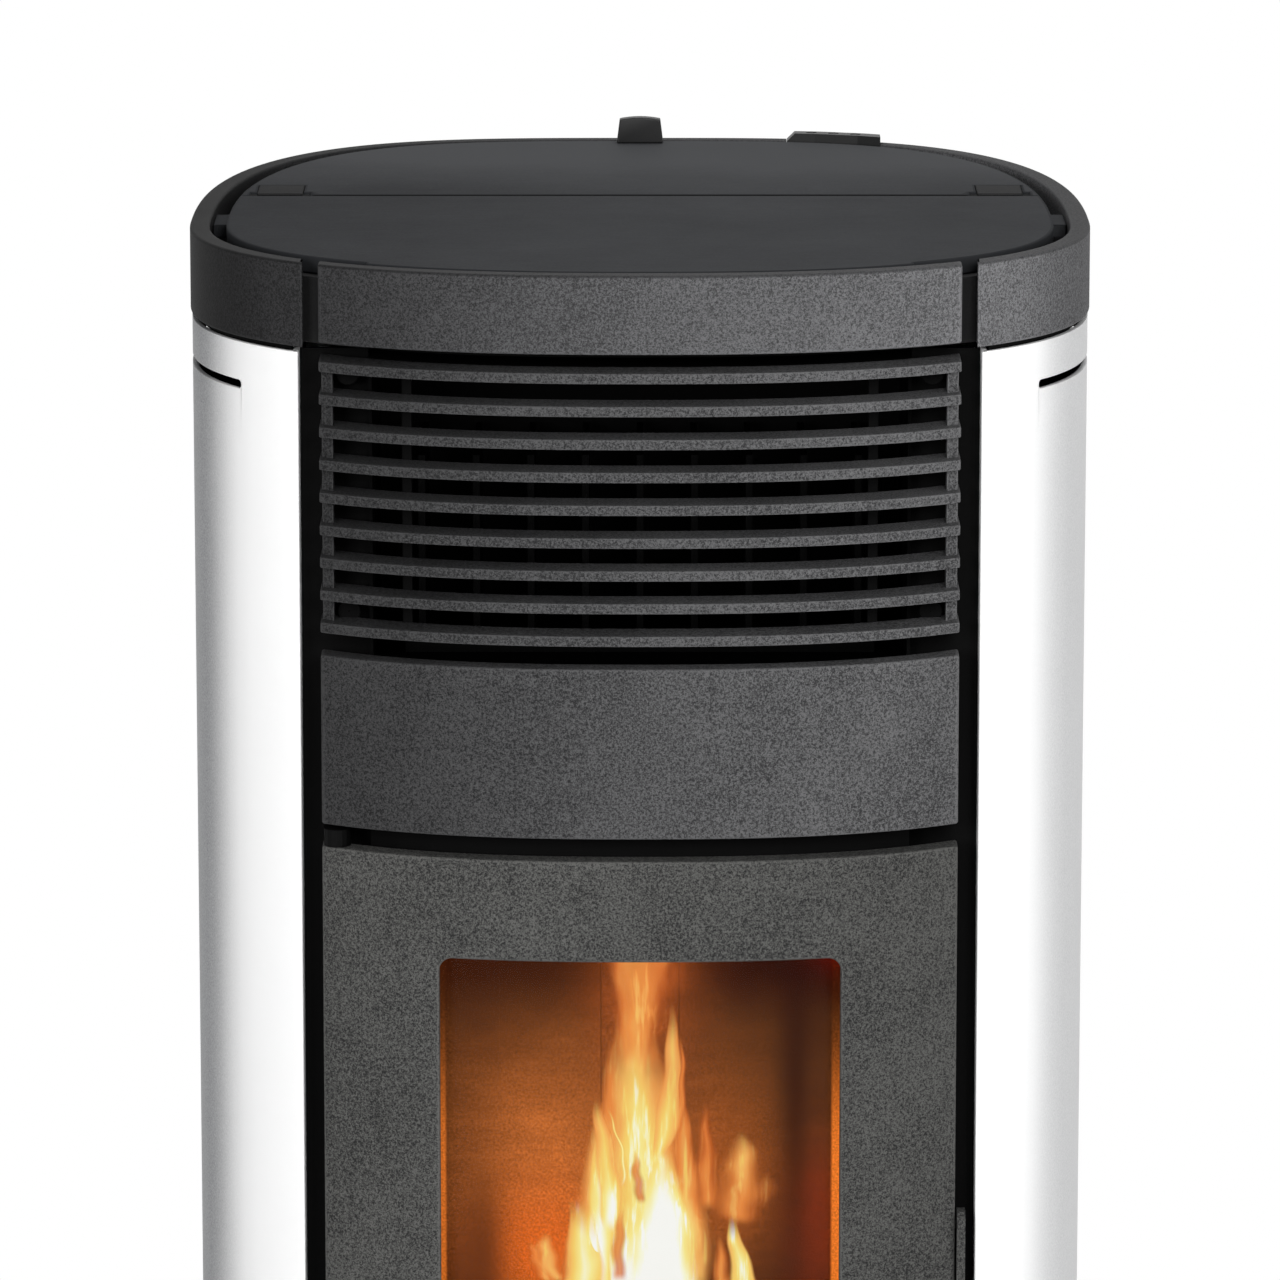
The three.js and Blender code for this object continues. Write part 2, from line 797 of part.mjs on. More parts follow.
// Knob: a short arched pull that stands on the lid's rear edge.
const lidRearY = rearY - crownWall - plateRearGap;
const knobShape = new THREE.Shape();
knobShape.moveTo(-knobWidth / 2, height + seat);
knobShape.lineTo(knobWidth / 2, height + seat);
knobShape.lineTo(knobShoulder / 2, height + knobShoulderHeight);
knobShape.quadraticCurveTo(
  0, height + 2 * knobHeight - knobShoulderHeight, -knobShoulder / 2, height + knobShoulderHeight,
);
const knobY = lidRearY - knobSetback;
add('lid_knob', inward(knobShape.getPoints(8), knobY, knobY + knobDepth), 'plastic');

// ---- Hopper and feed ----------------------------------------------------------------------------

const gasketSeat = plateBottom - seat - lidGasketHeight;
const hopperTop = gasketSeat - seat;
const shoulderZ = deckBottom - hopperShoulder;
function hopperForm(wall, low, high) {
  const neck = box(
    -hopperHalf + wall, hopperHalf - wall, hopperFrontY + wall, hopperRearY - wall, shoulderZ, high,
  );
  const funnel = taper(
    {
      x0: -hopperOutletHalf + wall,
      x1: hopperOutletHalf - wall,
      y0: hopperOutletY - hopperOutletHalf + wall,
      y1: hopperOutletY + hopperOutletHalf - wall,
      z: low,
    },
    {
      x0: -hopperHalf + wall,
      x1: hopperHalf - wall,
      y0: hopperFrontY + wall,
      y1: hopperRearY - wall,
      z: shoulderZ,
    },
  );
  return join(neck, funnel);
}
const spout = box(
  -hopperOutletHalf + hopperWall, hopperOutletHalf - hopperWall,
  hopperOutletY - hopperOutletHalf + hopperWall, hopperOutletY + hopperOutletHalf - hopperWall,
  hopperOutletZ - 1, hopperOutletZ + 1,
);
add('hopper', cut(
  hopperForm(0, hopperOutletZ, hopperTop),
  hopperForm(hopperWall, hopperOutletZ, hopperTop + 1),
  spout,
), 'rawSteel');

const gasketRing = cut(
  box(-hopperHalf, hopperHalf, hopperFrontY, hopperRearY, gasketSeat, gasketSeat + lidGasketHeight),
  box(
    -hopperHalf + lidGasketWidth, hopperHalf - lidGasketWidth,
    hopperFrontY + lidGasketWidth, hopperRearY - lidGasketWidth, 0, 2 * height,
  ),
);
add('lid_gasket', gasketRing, 'rope');

// The auger lifts pellets up a tilted tube to a chute that drops them into the burn pot.
const tilt = THREE.MathUtils.degToRad(augerTilt);
const augerFoot = new THREE.Vector3(0, augerFootY, augerFootZ);
const augerAxis = new THREE.Vector3(0, -Math.sin(tilt), Math.cos(tilt));
const onAuger = (s) => augerFoot.clone().addScaledVector(augerAxis, s);
const augerRod = (radius, s0, s1, steps) => rod(radius, augerAxis, onAuger(s0), onAuger(s1), steps);
const tubeInner = augerTubeRadius - augerTubeWall;
const collarBottom = hopperOutletZ - collarDrop;
const collarBox = (wall, top) => box(
  -hopperOutletHalf + wall, hopperOutletHalf - wall,
  onAuger(augerTubeLength / 4).y, hopperOutletY + hopperOutletHalf - wall,
  collarBottom + wall, top,
);
const inletCollar = collarBox(0, hopperOutletZ - seat);
const hopperInlet = collarBox(augerTubeWall, hopperOutletZ);
const chuteZ = onAuger(augerTubeLength - 34).z;
const chuteFrom = onAuger(augerTubeLength - 34).y;
const chuteTo = fireboxRearY - fireboxWall - chuteDrop;
const chuteProfile = (wall) => [
  [chuteFrom, chuteZ + chuteHalf - wall],
  [chuteFrom, chuteZ - chuteHalf + wall],
  [chuteTo - 1, chuteZ - chuteDrop - chuteHalf + wall - 10],
  [chuteTo - 1, chuteZ - chuteDrop + chuteHalf - wall],
].map(([y, z]) => new THREE.Vector2(y, z));
const chuteOuter = across(chuteProfile(0), -chuteHalf, chuteHalf);
const chuteInner = across(chuteProfile(chuteWall), -chuteHalf + chuteWall, chuteHalf - chuteWall);
const chuteMouth = box(
  -chuteHalf - seat, chuteHalf + seat, -fireboxWall - liningThickness - chuteClearance, fireboxRearY + 1,
  chuteZ - chuteDrop - chuteHalf, chuteZ + chuteHalf,
);
const tubeCap = augerTubeLength - augerTubeWall;
const augerTube = cut(
  join(augerRod(augerTubeRadius, 0, augerTubeLength), inletCollar, chuteOuter),
  augerRod(tubeInner, -1, tubeCap),
  hopperInlet,
  chuteInner,
  box(-chuteHalf + chuteWall, chuteHalf - chuteWall, chuteTo - 20, chuteTo + 0.5, 0, height),
);
add('auger_tube', augerTube, 'rawSteel');

const flightTurns = (augerTubeLength - augerTubeWall - 14) / augerPitch;
function helicalFlight() {
  const segments = Math.round(flightTurns * augerTurnSteps);
  const span = augerFlightRadius - augerShaftRadius + 2;
  const geometry = new THREE.BoxGeometry(span, augerFlight, 1, 1, 1, segments);
  const place = geometry.attributes.position;
  for (let i = 0; i < place.count; i += 1) {
    const turn = place.getZ(i) + 0.5;
    const angle = -2 * Math.PI * flightTurns * turn;
    const radius = augerFlightRadius - span / 2 + place.getX(i);
    const along = 6 + flightTurns * augerPitch * turn + place.getY(i);
    place.setXYZ(i, radius * Math.cos(angle), radius * Math.sin(angle), along);
  }
  geometry.rotateX(tilt);
  geometry.translate(augerFoot.x, augerFoot.y, augerFoot.z);
  return solid(geometry);
}
add('auger_screw', join(
  augerRod(augerShaftRadius, -4, augerTubeLength - augerTubeWall - 2, pinSteps),
  helicalFlight(),
), 'steel');

const gearbox = new THREE.BoxGeometry(gearboxSize, gearboxSize * 0.8, gearboxHeight);
gearbox.translate(0, 0, -seat - gearboxHeight / 2);
gearbox.rotateX(tilt);
gearbox.translate(augerFoot.x, augerFoot.y, augerFoot.z);
add('auger_motor', cut(
  join(solid(gearbox), augerRod(motorRadius, -seat - gearboxHeight - motorLength, -seat - gearboxHeight + 2)),
  augerRod(boreFor(augerShaftRadius), -4.5, 1, pinSteps),
), 'rawSteel');

// ---- Warm air outlet and front castings ---------------------------------------------------------

let grille = null;
for (let i = 0; i < slatCount; i += 1) {
  const top = grilleTop - i * slatPitch;
  const slat = frontBand(castHalf, 0, slatDepth, top - slatThickness, top, 0, slatSteps);
  grille = grille ? join(grille, slat) : slat;
}
const postBand = cut(
  frontBand(
    castHalf - castBevel, grillePostSetback, slatDepth + 1, grilleBottom + 1, grilleTop - 1, 0, endSteps,
  ),
  box(-castHalf + grillePost, castHalf - grillePost, -width, 0, 0, height),
);
const ribBand = frontBand(
  grilleRibX + grilleRibWidth, slatDepth - 2, slatDepth + grilleRibDepth, grilleBottom, grilleTop,
  0, endSteps,
);
const ribs = cut(
  ribBand,
  box(-grilleRibX, grilleRibX, -width, 0, 0, height),
);
const grilleEars = [
  ...ears(slatDepth, grilleBottom + slatPitch / 2),
  ...ears(slatDepth, grilleTop - slatPitch / 2),
];
add('warm_air_grille', join(grille, postBand, ribs, ...grilleEars), 'castIron');

const middle = join(
  frontBand(castHalf, 0, castWall, middleBottom, middleTop, castBevel),
  frontBand(castHalf - castBevel, castBevel, middleLip, middleTop - middleLipThickness, middleTop),
  ...ears(castWall, (middleTop + middleBottom) / 2),
);
add('middle_fascia', middle, 'castIron');

add('lower_fascia', join(
  frontBand(castHalf, 0, castWall, lowerBottom, lowerTop, castBevel),
  ...ears(castWall, (lowerTop + lowerBottom) / 2),
), 'castIron');

const hoodTop = frameTop - 4;
const hoodFront = slatDepth + grilleRibDepth + seat;
const hoodPlan = (half, inset, back) => [
  ...frontArc(half, inset), new THREE.Vector2(half, back), new THREE.Vector2(-half, back),
];
add('warm_air_hood', cut(
  upright(hoodPlan(frameHalf, hoodFront, hoodRearY), fireboxTop + seat, hoodTop),
  upright(hoodPlan(frameHalf - hoodWall, -20, hoodRearY - hoodWall), fireboxTop - 1, hoodTop - hoodWall),
), 'blackSteel');

const finHalf = frameHalf - finSetback;
let fins = box(
  -finHalf - finLip, finHalf + finLip, hoodRearY - finGap - finDepth, hoodRearY - finGap,
  fireboxTop + seat, fireboxTop + seat + 6,
);
for (let i = 0; i < finCount; i += 1) {
  const x = (i - (finCount - 1) / 2) * 2 * finHalf / (finCount - 1);
  fins = join(fins, box(
    x - finThickness / 2, x + finThickness / 2, hoodRearY - finGap - finDepth, hoodRearY - finGap,
    fireboxTop + seat + 1, fireboxTop + finHeight,
  ));
}
add('heat_exchanger', fins, 'rawSteel');

// ---- Firebox ------------------------------------------------------------------------------------

const fireboxPlan = (half, inset, back) => [
  ...frontArc(half, inset), new THREE.Vector2(half, back), new THREE.Vector2(-half, back),
];
const frontPlateInner = surroundInset + fireboxWall;
const riserX0 = exhaustX - riserHalf;
const riserX1 = exhaustX + riserHalf;
const smokeHoleTop = fireboxTop - smokeHoleDrop;
const smokeHoleBottom = smokeHoleTop - smokeHoleHeight;
const holderTop = fireboxFloor + fireboxWall + seat + holderHeight;
const airZ = fireboxFloor + fireboxWall + seat + holderHeight / 2;
const mouthTop = gasketTop - mouthMargin;
const mouthBottom = gasketBottom + mouthMargin;
const liningBack = fireboxRearY - fireboxWall - seat;
const firebox = cut(
  upright(fireboxPlan(frameHalf, surroundInset, fireboxRearY), fireboxFloor, fireboxTop),
  upright(
    fireboxPlan(frameHalf - fireboxWall, frontPlateInner, fireboxRearY - fireboxWall),
    fireboxFloor + fireboxWall, fireboxTop - fireboxWall,
  ),
  box(-mouthHalf, mouthHalf, -width, holderY - holderDepth / 2, mouthBottom, mouthTop),
  box(
    riserX0 + riserWall, riserX1 - riserWall, fireboxRearY - fireboxWall - 1, fireboxRearY + 1,
    smokeHoleBottom, smokeHoleTop,
  ),
  chuteMouth,
  rodY(airInletRadius - airInletWall, airInletX, 0, fireboxRearY + 1, airZ),
  rodY(igniterRadius + seat, 0, 0, fireboxRearY + 1, airZ),
  box(
    -mouthHalf + ashSlotDepth, mouthHalf - ashSlotDepth,
    holderY - holderDepth / 2 - 10 - ashSlotDepth, holderY - holderDepth / 2 - 10,
    fireboxFloor - 1, fireboxFloor + fireboxWall + 1,
  ),
);
add('firebox', firebox, 'blackSteel');

// Lining: a ribbed back plate with a wing down each side, below the baffle.
const baffleZ = fireboxTop - baffleDrop;
const liningHalf = frameHalf - fireboxWall - seat;
const liningFront = frontY(liningHalf, frontPlateInner) + 14;
const liningBottom = fireboxFloor + fireboxWall + seat;
let lining = cut(
  box(-liningHalf, liningHalf, liningFront, liningBack, liningBottom, baffleZ - seat),
  box(
    -liningHalf + liningThickness, liningHalf - liningThickness, liningFront - 1,
    liningBack - liningThickness, liningBottom - 1, baffleZ,
  ),
);
const ribPitch = 2 * (liningHalf - liningThickness) / liningRibs;
for (let i = 0; i < liningRibs; i += 1) {
  const x = (i - (liningRibs - 1) / 2) * ribPitch;
  lining = join(lining, box(
    x - ribPitch / 4, x + ribPitch / 4, liningBack - liningThickness - liningRibDepth,
    liningBack - liningThickness + 1, holderTop + 20, baffleZ - 20,
  ));
}
lining = cut(
  lining,
  box(
    -chuteHalf - 2 * seat, chuteHalf + 2 * seat, chuteTo - 20, fireboxRearY,
    chuteZ - chuteDrop - chuteHalf - 12, chuteZ + chuteHalf,
  ),
  rodY(airInletRadius - airInletWall, airInletX, -30, fireboxRearY, airZ),
  rodY(igniterRadius + seat, 0, -30, fireboxRearY, airZ),
);
add('firebox_lining', lining, 'lining');

add('baffle_plate', box(
  -liningHalf, liningHalf, liningFront, liningBack - baffleGap, baffleZ, baffleZ + baffleThickness,
), 'lining');

// The burn pot hangs by its rim in a holder that feeds it with air.
const holder = cut(
  box(
    -holderHalf, holderHalf, holderY - holderDepth / 2, liningBack - liningThickness - seat,
    liningBottom, holderTop,
  ),
  box(
    -holderHalf + potWall, holderHalf - potWall, holderY - holderDepth / 2 + potWall,
    liningBack - liningThickness - seat - potWall, liningBottom - 1, holderTop - potWall,
  ),
  box(
    -potTop - turning, potTop + turning, holderY - potBottom, holderY + potBottom,
    liningBottom, holderTop + 1,
  ),
  rodY(igniterRadius + seat, 0, holderY, fireboxRearY, airZ),
);
add('burn_pot_holder', holder, 'rawSteel');

const potBase = holderTop + seat - (potHeight - potRimThickness);
const potRimZ = holderTop + seat;
const potSection = (half, reach, z) => ({
  x0: -half, x1: half, y0: holderY - reach, y1: holderY + reach, z,
});
const potForm = (wall, low, high) => taper(
  potSection(potBottom - wall, potFloorDepth - wall, low),
  potSection(potTop - wall, potMouthDepth - wall, high),
);
let pot = cut(
  join(
    potForm(0, potBase, potRimZ + potRimThickness),
    box(
      -potTop - potRim, potTop + potRim, holderY - potMouthDepth - potRim, holderY + potMouthDepth + potRim,
      potRimZ, potRimZ + potRimThickness,
    ),
  ),
  potForm(potWall, potBase + potWall, potRimZ + potRimThickness + 0.01),
);
for (let i = -2; i <= 2; i += 1) {
  for (let j = -1; j <= 1; j += 1) {
    pot = cut(pot, rodZ(
      potHoleRadius, i * potHolePitch, holderY + j * potHolePitch,
      potBase - 1, potBase + potWall + 1, holeSteps,
    ));
  }
}
add('burn_pot', pot, 'castIron');

const igniterFront = holderY + potFloorDepth + 4;
add('igniter', rodY(igniterRadius, 0, igniterFront, fireboxRearY + igniterTail, airZ, slimSteps), 'steel');

// ---- Door ---------------------------------------------------------------------------------------

const windowOutline = roundedRectangle(-windowHalf, windowHalf, windowBottom, windowTop, windowRadius);
const pivot = outlinePoint(outlineAngle(castHalf - hingeFromEdge, hingeInset, false), hingeInset);
const pivotX = -pivot.x;
const pivotY = pivot.y;
const pinBores = [
  rodZ(boreFor(hingePinRadius), pivotX, pivotY, doorTop - hingePinDepth - 1, doorTop + 1, pinSteps),
  rodZ(boreFor(hingePinRadius), pivotX, pivotY, doorBottom - 1, doorBottom + hingePinDepth + 1, pinSteps),
];
const handleZ = doorBottom + handleRise;
const handleInner = castHalf + 1.2;
const handleOuter = handleInner + handleThickness;
const handleY = frameFrontY - clawReach - 6;
const handleBossStart = castHalf - handleBossLength;
const handleBoss = rodX(handleBossRadius, handleBossStart, castHalf, handleY, handleZ);
const door = cut(
  join(frontBand(castHalf, 0, doorWall, doorBottom, doorTop, castBevel), handleBoss),
  inward(windowOutline, -2 * rearY, 0),
  ...pinBores,
  rodX(boreFor(handlePinRadius), handleBossStart - 1, castHalf + 1, handleY, handleZ, pinSteps),
);
add('door_casting', door, 'castIron');

const glassHalf = windowHalf + glassOverlap;
add('door_glass', frontBand(
  glassHalf, glassInset, glassInset + glassThickness, windowBottom - glassOverlap, windowTop + glassOverlap,
), 'glass');

const retainerInset = glassInset + glassThickness + seat;
const retainerTop = windowTop + glassOverlap + seat;
const retainerBottom = windowBottom - glassOverlap - seat;
const retainerHalf = glassHalf + seat;
const retainer = cut(
  frontBand(
    retainerHalf + retainerWidth, glassInset, retainerInset + retainerThickness,
    retainerBottom - retainerWidth, retainerTop + retainerWidth,
  ),
  frontBand(retainerHalf, 0, retainerInset, retainerBottom, retainerTop),
  inward(roundedRectangle(
    -windowHalf - 3, windowHalf + 3, windowBottom - 3, windowTop + 3, windowRadius,
  ), -2 * rearY, 0),
);
add('glass_retainer', retainer, 'blackSteel');

add('door_gasket', cut(
  frontBand(gasketHalf, gasketInset, gasketInset + gasketThickness, gasketBottom, gasketTop),
  box(
    -gasketHalf + gasketWidth, gasketHalf - gasketWidth, -width, 0,
    gasketBottom + gasketWidth, gasketTop - gasketWidth,
  ),
), 'rope');

// Hinge arms reach forward from the left side frame; each carries a pin that enters the door.
function hingeBracket(low, high, pinLow, pinHigh) {
  const arm = box(pivotX - hingeArm, pivotX + hingeArm, pivotY, frameFrontY - seat, low, high);
  return join(
    arm,
    rodZ(hingeArm, pivotX, pivotY, low, high),
    rodZ(hingePinRadius, pivotX, pivotY, pinLow, pinHigh, pinSteps),
  );
}
add('door_hinge_top', hingeBracket(
  doorTop + seat, middleBottom - 3, doorTop - hingePinDepth, doorTop + seat + 1,
), 'blackSteel');
add('door_hinge_bottom', hingeBracket(
  drawerTop + 3, doorBottom - seat, doorBottom - seat - 1, doorBottom + hingePinDepth,
), 'blackSteel');

// Handle: an upright blade in the gap, on a cross pin, with a claw behind it for the frame's edge.
const handleFront = handleY - handleWidth;
const bladeTop = handleZ + handleHead;
const bladeBottom = handleZ + handleHead - handleLength;
const blade = new THREE.Shape();
blade.moveTo(handleFront + 3, bladeBottom);
blade.lineTo(handleFront + 9, bladeBottom + 2);
blade.lineTo(handleFront + 12, handleZ - 20);
blade.lineTo(handleY + 6, handleZ - clawHeight);
blade.lineTo(handleY + clawReach, handleZ - clawHeight);
blade.lineTo(handleY + clawReach, handleZ - clawHeight + 4);
blade.lineTo(handleY + 6, handleZ + 4);
blade.lineTo(handleY + 2, bladeTop - 3);
blade.lineTo(handleY - 3, bladeTop);
blade.lineTo(handleFront + 4, bladeTop);
blade.lineTo(handleFront, bladeTop - 4);
add('door_handle', join(
  across(blade.getPoints(), handleInner, handleOuter),
  rodX(handlePinRadius, handleBossStart + 1, handleInner + 1, handleY, handleZ, pinSteps),
), 'castIron');

// ---- Ash drawer ---------------------------------------------------------------------------------

const panBottom = drawerLedgeTop + seat;
const panTop = panBottom + panHeight;
const panFrontY = frameFrontY - 4;
const drawerBoss = (side) => rodY(
  panBossRadius, side * panBossX, frontY(panBossX, castWall) - 4, panFrontY - seat, (panTop + panBottom) / 2,
);
add('ash_drawer_front', join(
  frontBand(castHalf, 0, castWall, drawerBottom, drawerTop, castBevel),
  drawerBoss(-1),
  drawerBoss(1),
), 'castIron');

add('ash_drawer_pan', cut(
  box(-panHalf, panHalf, panFrontY, panFrontY + panDepth, panBottom, panTop),
  box(
    -panHalf + panWall, panHalf - panWall, panFrontY + panWall, panFrontY + panDepth - panWall,
    panBottom + panWall, panTop + 1,
  ),
), 'rawSteel');

// ---- Fans and ducts -----------------------------------------------------------------------------

// Exhaust fan: a squat housing on the base, with a riser up the back of the firebox.
const exhaustY0 = fireboxRearY + seat;
const exhaustY1 = exhaustY0 + exhaustDepth;
const exhaustTop = frameBottom + exhaustHeight;
const exhaustZ = frameBottom + exhaustHeight / 2;
const exhaustOutline = roundedRectangle(
  exhaustX - exhaustHalf, exhaustX + exhaustHalf, frameBottom, exhaustTop, 16,
);
const cavityRadius = Math.min(exhaustHalf, exhaustHeight / 2) - exhaustWall;
const riserTop = smokeHoleTop + 10;
const exhaustHousing = cut(
  join(
    inward(exhaustOutline, exhaustY0, exhaustY1),
    box(riserX0, riserX1, exhaustY0, exhaustY0 + riserDepth, exhaustTop - 2, riserTop),
  ),
  rodY(cavityRadius, exhaustX, exhaustY0 + exhaustWall, exhaustY1 - exhaustWall, exhaustZ, wheelSteps),
  box(
    riserX0 + riserWall, riserX1 - riserWall, exhaustY0 + riserWall, exhaustY0 + riserDepth - riserWall,
    exhaustZ + cavityRadius / 2, riserTop - riserWall,
  ),
  box(
    riserX0 + riserWall, riserX1 - riserWall, exhaustY0 - 1, exhaustY0 + riserDepth - riserWall,
    smokeHoleBottom, smokeHoleTop,
  ),
  rodY(flueRadius - flueWall, exhaustX, exhaustY1 - exhaustWall - 1, exhaustY1 + 1, exhaustZ, wheelSteps),
  rodY(shaftRadius + seat, exhaustX, exhaustY0 - 1, exhaustY1 - exhaustWall - 1, exhaustZ),
);
add('exhaust_fan_housing', exhaustHousing, 'rawSteel');

const impellerY0 = exhaustY0 + exhaustWall + turning + 2;
let impeller = join(
  rodY(impellerRadius, exhaustX, impellerY0, impellerY0 + 2, exhaustZ, wheelSteps),
  rodY(12, exhaustX, impellerY0, impellerY0 + impellerWidth, exhaustZ, pinSteps),
  rodY(shaftRadius, exhaustX, exhaustY0 - 3, impellerY0 + 1, exhaustZ, pinSteps),
);
for (let i = 0; i < impellerBlades; i += 1) {
  const geometry = new THREE.BoxGeometry(impellerRadius - 12, impellerWidth - 2, 2.4);
  geometry.translate(10 + (impellerRadius - 12) / 2, impellerY0 + impellerWidth / 2, 0);
  geometry.rotateY(2 * Math.PI * i / impellerBlades);
  geometry.translate(exhaustX, 0, exhaustZ);
  impeller = join(impeller, solid(geometry));
}
add('exhaust_impeller', impeller, 'steel');

add('exhaust_motor', cut(
  rodY(exhaustMotorRadius, exhaustX, exhaustY0 - seat - exhaustMotorLength, exhaustY0 - seat, exhaustZ),
  rodY(boreFor(shaftRadius), exhaustX, exhaustY0 - 3.5, exhaustY0 + 1, exhaustZ, pinSteps),
), 'rawSteel');

const flueY0 = exhaustY1 + seat;
const flueY1 = rearPanelY + rearPanelThickness + flueOverhang;
add('flue_spigot', cut(
  join(
    rodY(flueRadius, exhaustX, flueY0, flueY1, exhaustZ, wheelSteps),
    rodY(flueRadius + 5, exhaustX, flueY0, flueY0 + 3, exhaustZ, wheelSteps),
  ),
  rodY(flueRadius - flueWall, exhaustX, flueY0 - 1, flueY1 + 1, exhaustZ, wheelSteps),
), 'rawSteel');

// Room fan: a drum rotor in a scroll with an open side, blowing upwards behind the firebox.
const roomX0 = roomFanX - roomFanHalf;
const roomX1 = roomFanX + roomFanHalf;
const roomZ = frameBottom + roomFanRadius + 4;
const roomTop = roomZ + roomFanRadius + 20;
const scroll = join(
  rodX(roomFanRadius, roomX0, roomX1, roomFanY, roomZ, wheelSteps),
  box(roomX0, roomX1, roomFanY - roomFanRadius, roomFanY, roomZ, roomTop),
  box(roomX0, roomX1, roomFanY - 40, roomFanY + 40, frameBottom, roomZ - roomFanRadius / 2),
);
const scrollInner = join(
  rodX(roomFanRadius - roomFanWall, roomX0 + roomFanWall, roomX1 - roomFanWall, roomFanY, roomZ, wheelSteps),
  box(
    roomX0 + roomFanWall, roomX1 - roomFanWall, roomFanY - roomFanRadius + roomFanWall,
    roomFanY - roomFanWall, roomZ, roomTop + 1,
  ),
  rodX(rotorRadius - 6, roomX1 - roomFanWall - 1, roomX1 + 1, roomFanY, roomZ, wheelSteps),
  rodX(boreFor(shaftRadius), roomX0 - 1, roomX1, roomFanY, roomZ, pinSteps),
);
add('room_fan_housing', cut(scroll, scrollInner), 'rawSteel');

const drumX0 = roomX0 + roomFanWall + 4;
const drumX1 = roomX1 - roomFanWall - 4;
const rotorRing = (x0, x1) => cut(
  rodX(rotorRadius, x0, x1, roomFanY, roomZ, wheelSteps),
  rodX(rotorRadius - rotorRim, x0 - 1, x1 + 1, roomFanY, roomZ, wheelSteps),
);
let rotor = join(
  rodX(rotorRadius, drumX0, drumX0 + 3, roomFanY, roomZ, wheelSteps),
  rotorRing(drumX1 - 3, drumX1),
  rodX(shaftRadius, roomX0 - 4, drumX0 + 12, roomFanY, roomZ, pinSteps),
);
for (let i = 0; i < rotorBlades; i += 1) {
  const geometry = new THREE.BoxGeometry(drumX1 - drumX0 - 2, rotorRim - 1, 1.6);
  geometry.rotateX(Math.PI / 5);
  geometry.translate((drumX0 + drumX1) / 2, rotorRadius - rotorRim / 2, 0);
  geometry.rotateX(2 * Math.PI * i / rotorBlades);
  geometry.translate(0, roomFanY, roomZ);
  rotor = join(rotor, solid(geometry));
}
add('room_fan_rotor', rotor, 'plastic');

const airY1 = rearPanelY + rearPanelThickness + airInletOverhang;
add('air_inlet_pipe', cut(
  rodY(airInletRadius, airInletX, fireboxRearY + seat, airY1, airZ),
  rodY(airInletRadius - airInletWall, airInletX, fireboxRearY - 1, airY1 + 1, airZ),
), 'rawSteel');

// ---- Rear panel and electrics -------------------------------------------------------------------

const backFace = rearPanelY + rearPanelThickness;
const rearHalf = frameHalf + rearPanelOverlap;
let rear = box(-rearHalf, rearHalf, rearPanelY, backFace, frameBottom, frameTop);
for (const column of [-0.5, 0.5]) {
  for (let i = 0; i < louvreCount; i += 1) {
    const x = column * louvreSpread;
    const z = frameTop - louvreDrop + i * louvrePitch;
    rear = cut(rear, box(
      x - louvreWidth / 2, x + louvreWidth / 2, rearPanelY - 1, backFace + 1, z, z + louvreHeight,
    ));
  }
}
const rockerZ = inletZ + inletHeight / 2 - rockerHeight / 2 - 5;
const resetZ = inletZ + inletHeight / 2 + 26;
rear = cut(
  rear,
  rodY(flueRadius + seat, exhaustX, rearPanelY - 1, backFace + 1, exhaustZ, wheelSteps),
  rodY(airInletRadius + seat, airInletX, rearPanelY - 1, backFace + 1, airZ),
  box(
    inletX - inletWidth / 2 + 2, inletX + inletWidth / 2 - 2, rearPanelY - 1, backFace + 1,
    inletZ - inletHeight / 2 + 2, inletZ + inletHeight / 2 - 2,
  ),
  rodY(resetRadius + seat, inletX, rearPanelY - 1, backFace + 1, resetZ),
);
add('rear_panel', rear, 'blackSteel');

const inletBackY = backFace + seat + inletFlange;
const socketWidth = inletWidth - 2 * 4;
add('power_inlet', cut(
  join(
    box(
      inletX - inletWidth / 2, inletX + inletWidth / 2, backFace + seat, inletBackY,
      inletZ - inletHeight / 2, inletZ + inletHeight / 2,
    ),
    box(
      inletX - inletWidth / 2 + 2 + seat, inletX + inletWidth / 2 - 2 - seat,
      inletBackY - inletDepth, inletBackY - 1,
      inletZ - inletHeight / 2 + 2 + seat, inletZ + inletHeight / 2 - 2 - seat,
    ),
  ),
  box(
    inletX - socketWidth / 2, inletX + socketWidth / 2, inletBackY - inletDepth + 3, inletBackY + 1,
    inletZ - inletHeight / 2 + 5, inletZ,
  ),
  box(
    inletX - rockerWidth / 2 - seat, inletX + rockerWidth / 2 + seat, inletBackY - 11, inletBackY + 1,
    rockerZ - rockerHeight / 2 - 1, rockerZ + rockerHeight / 2 + 1,
  ),
), 'plastic');

const rockerY = inletBackY - 4;
add('rocker_switch', across([
  [rockerY - 3, rockerZ - rockerHeight / 2 + 2],
  [inletBackY + 1.2, rockerZ - rockerHeight / 2],
  [inletBackY - 0.4, rockerZ],
  [inletBackY + 1.2, rockerZ + rockerHeight / 2],
  [rockerY - 3, rockerZ + rockerHeight / 2 - 2],
].map(([y, z]) => new THREE.Vector2(y, z)), inletX - rockerWidth / 2, inletX + rockerWidth / 2), 'plastic');

add('reset_button', join(
  rodY(resetRadius, inletX, rearPanelY - 6, backFace + 5, resetZ),
  rodY(resetRadius + 3, inletX, backFace + resetTravel + seat, backFace + 5, resetZ),
), 'plastic');

add('control_board', box(
  boardX - boardWidth / 2, boardX + boardWidth / 2, rearPanelY - seat - boardDepth, rearPanelY - seat,
  boardZ, boardZ + boardHeight,
), 'plastic');

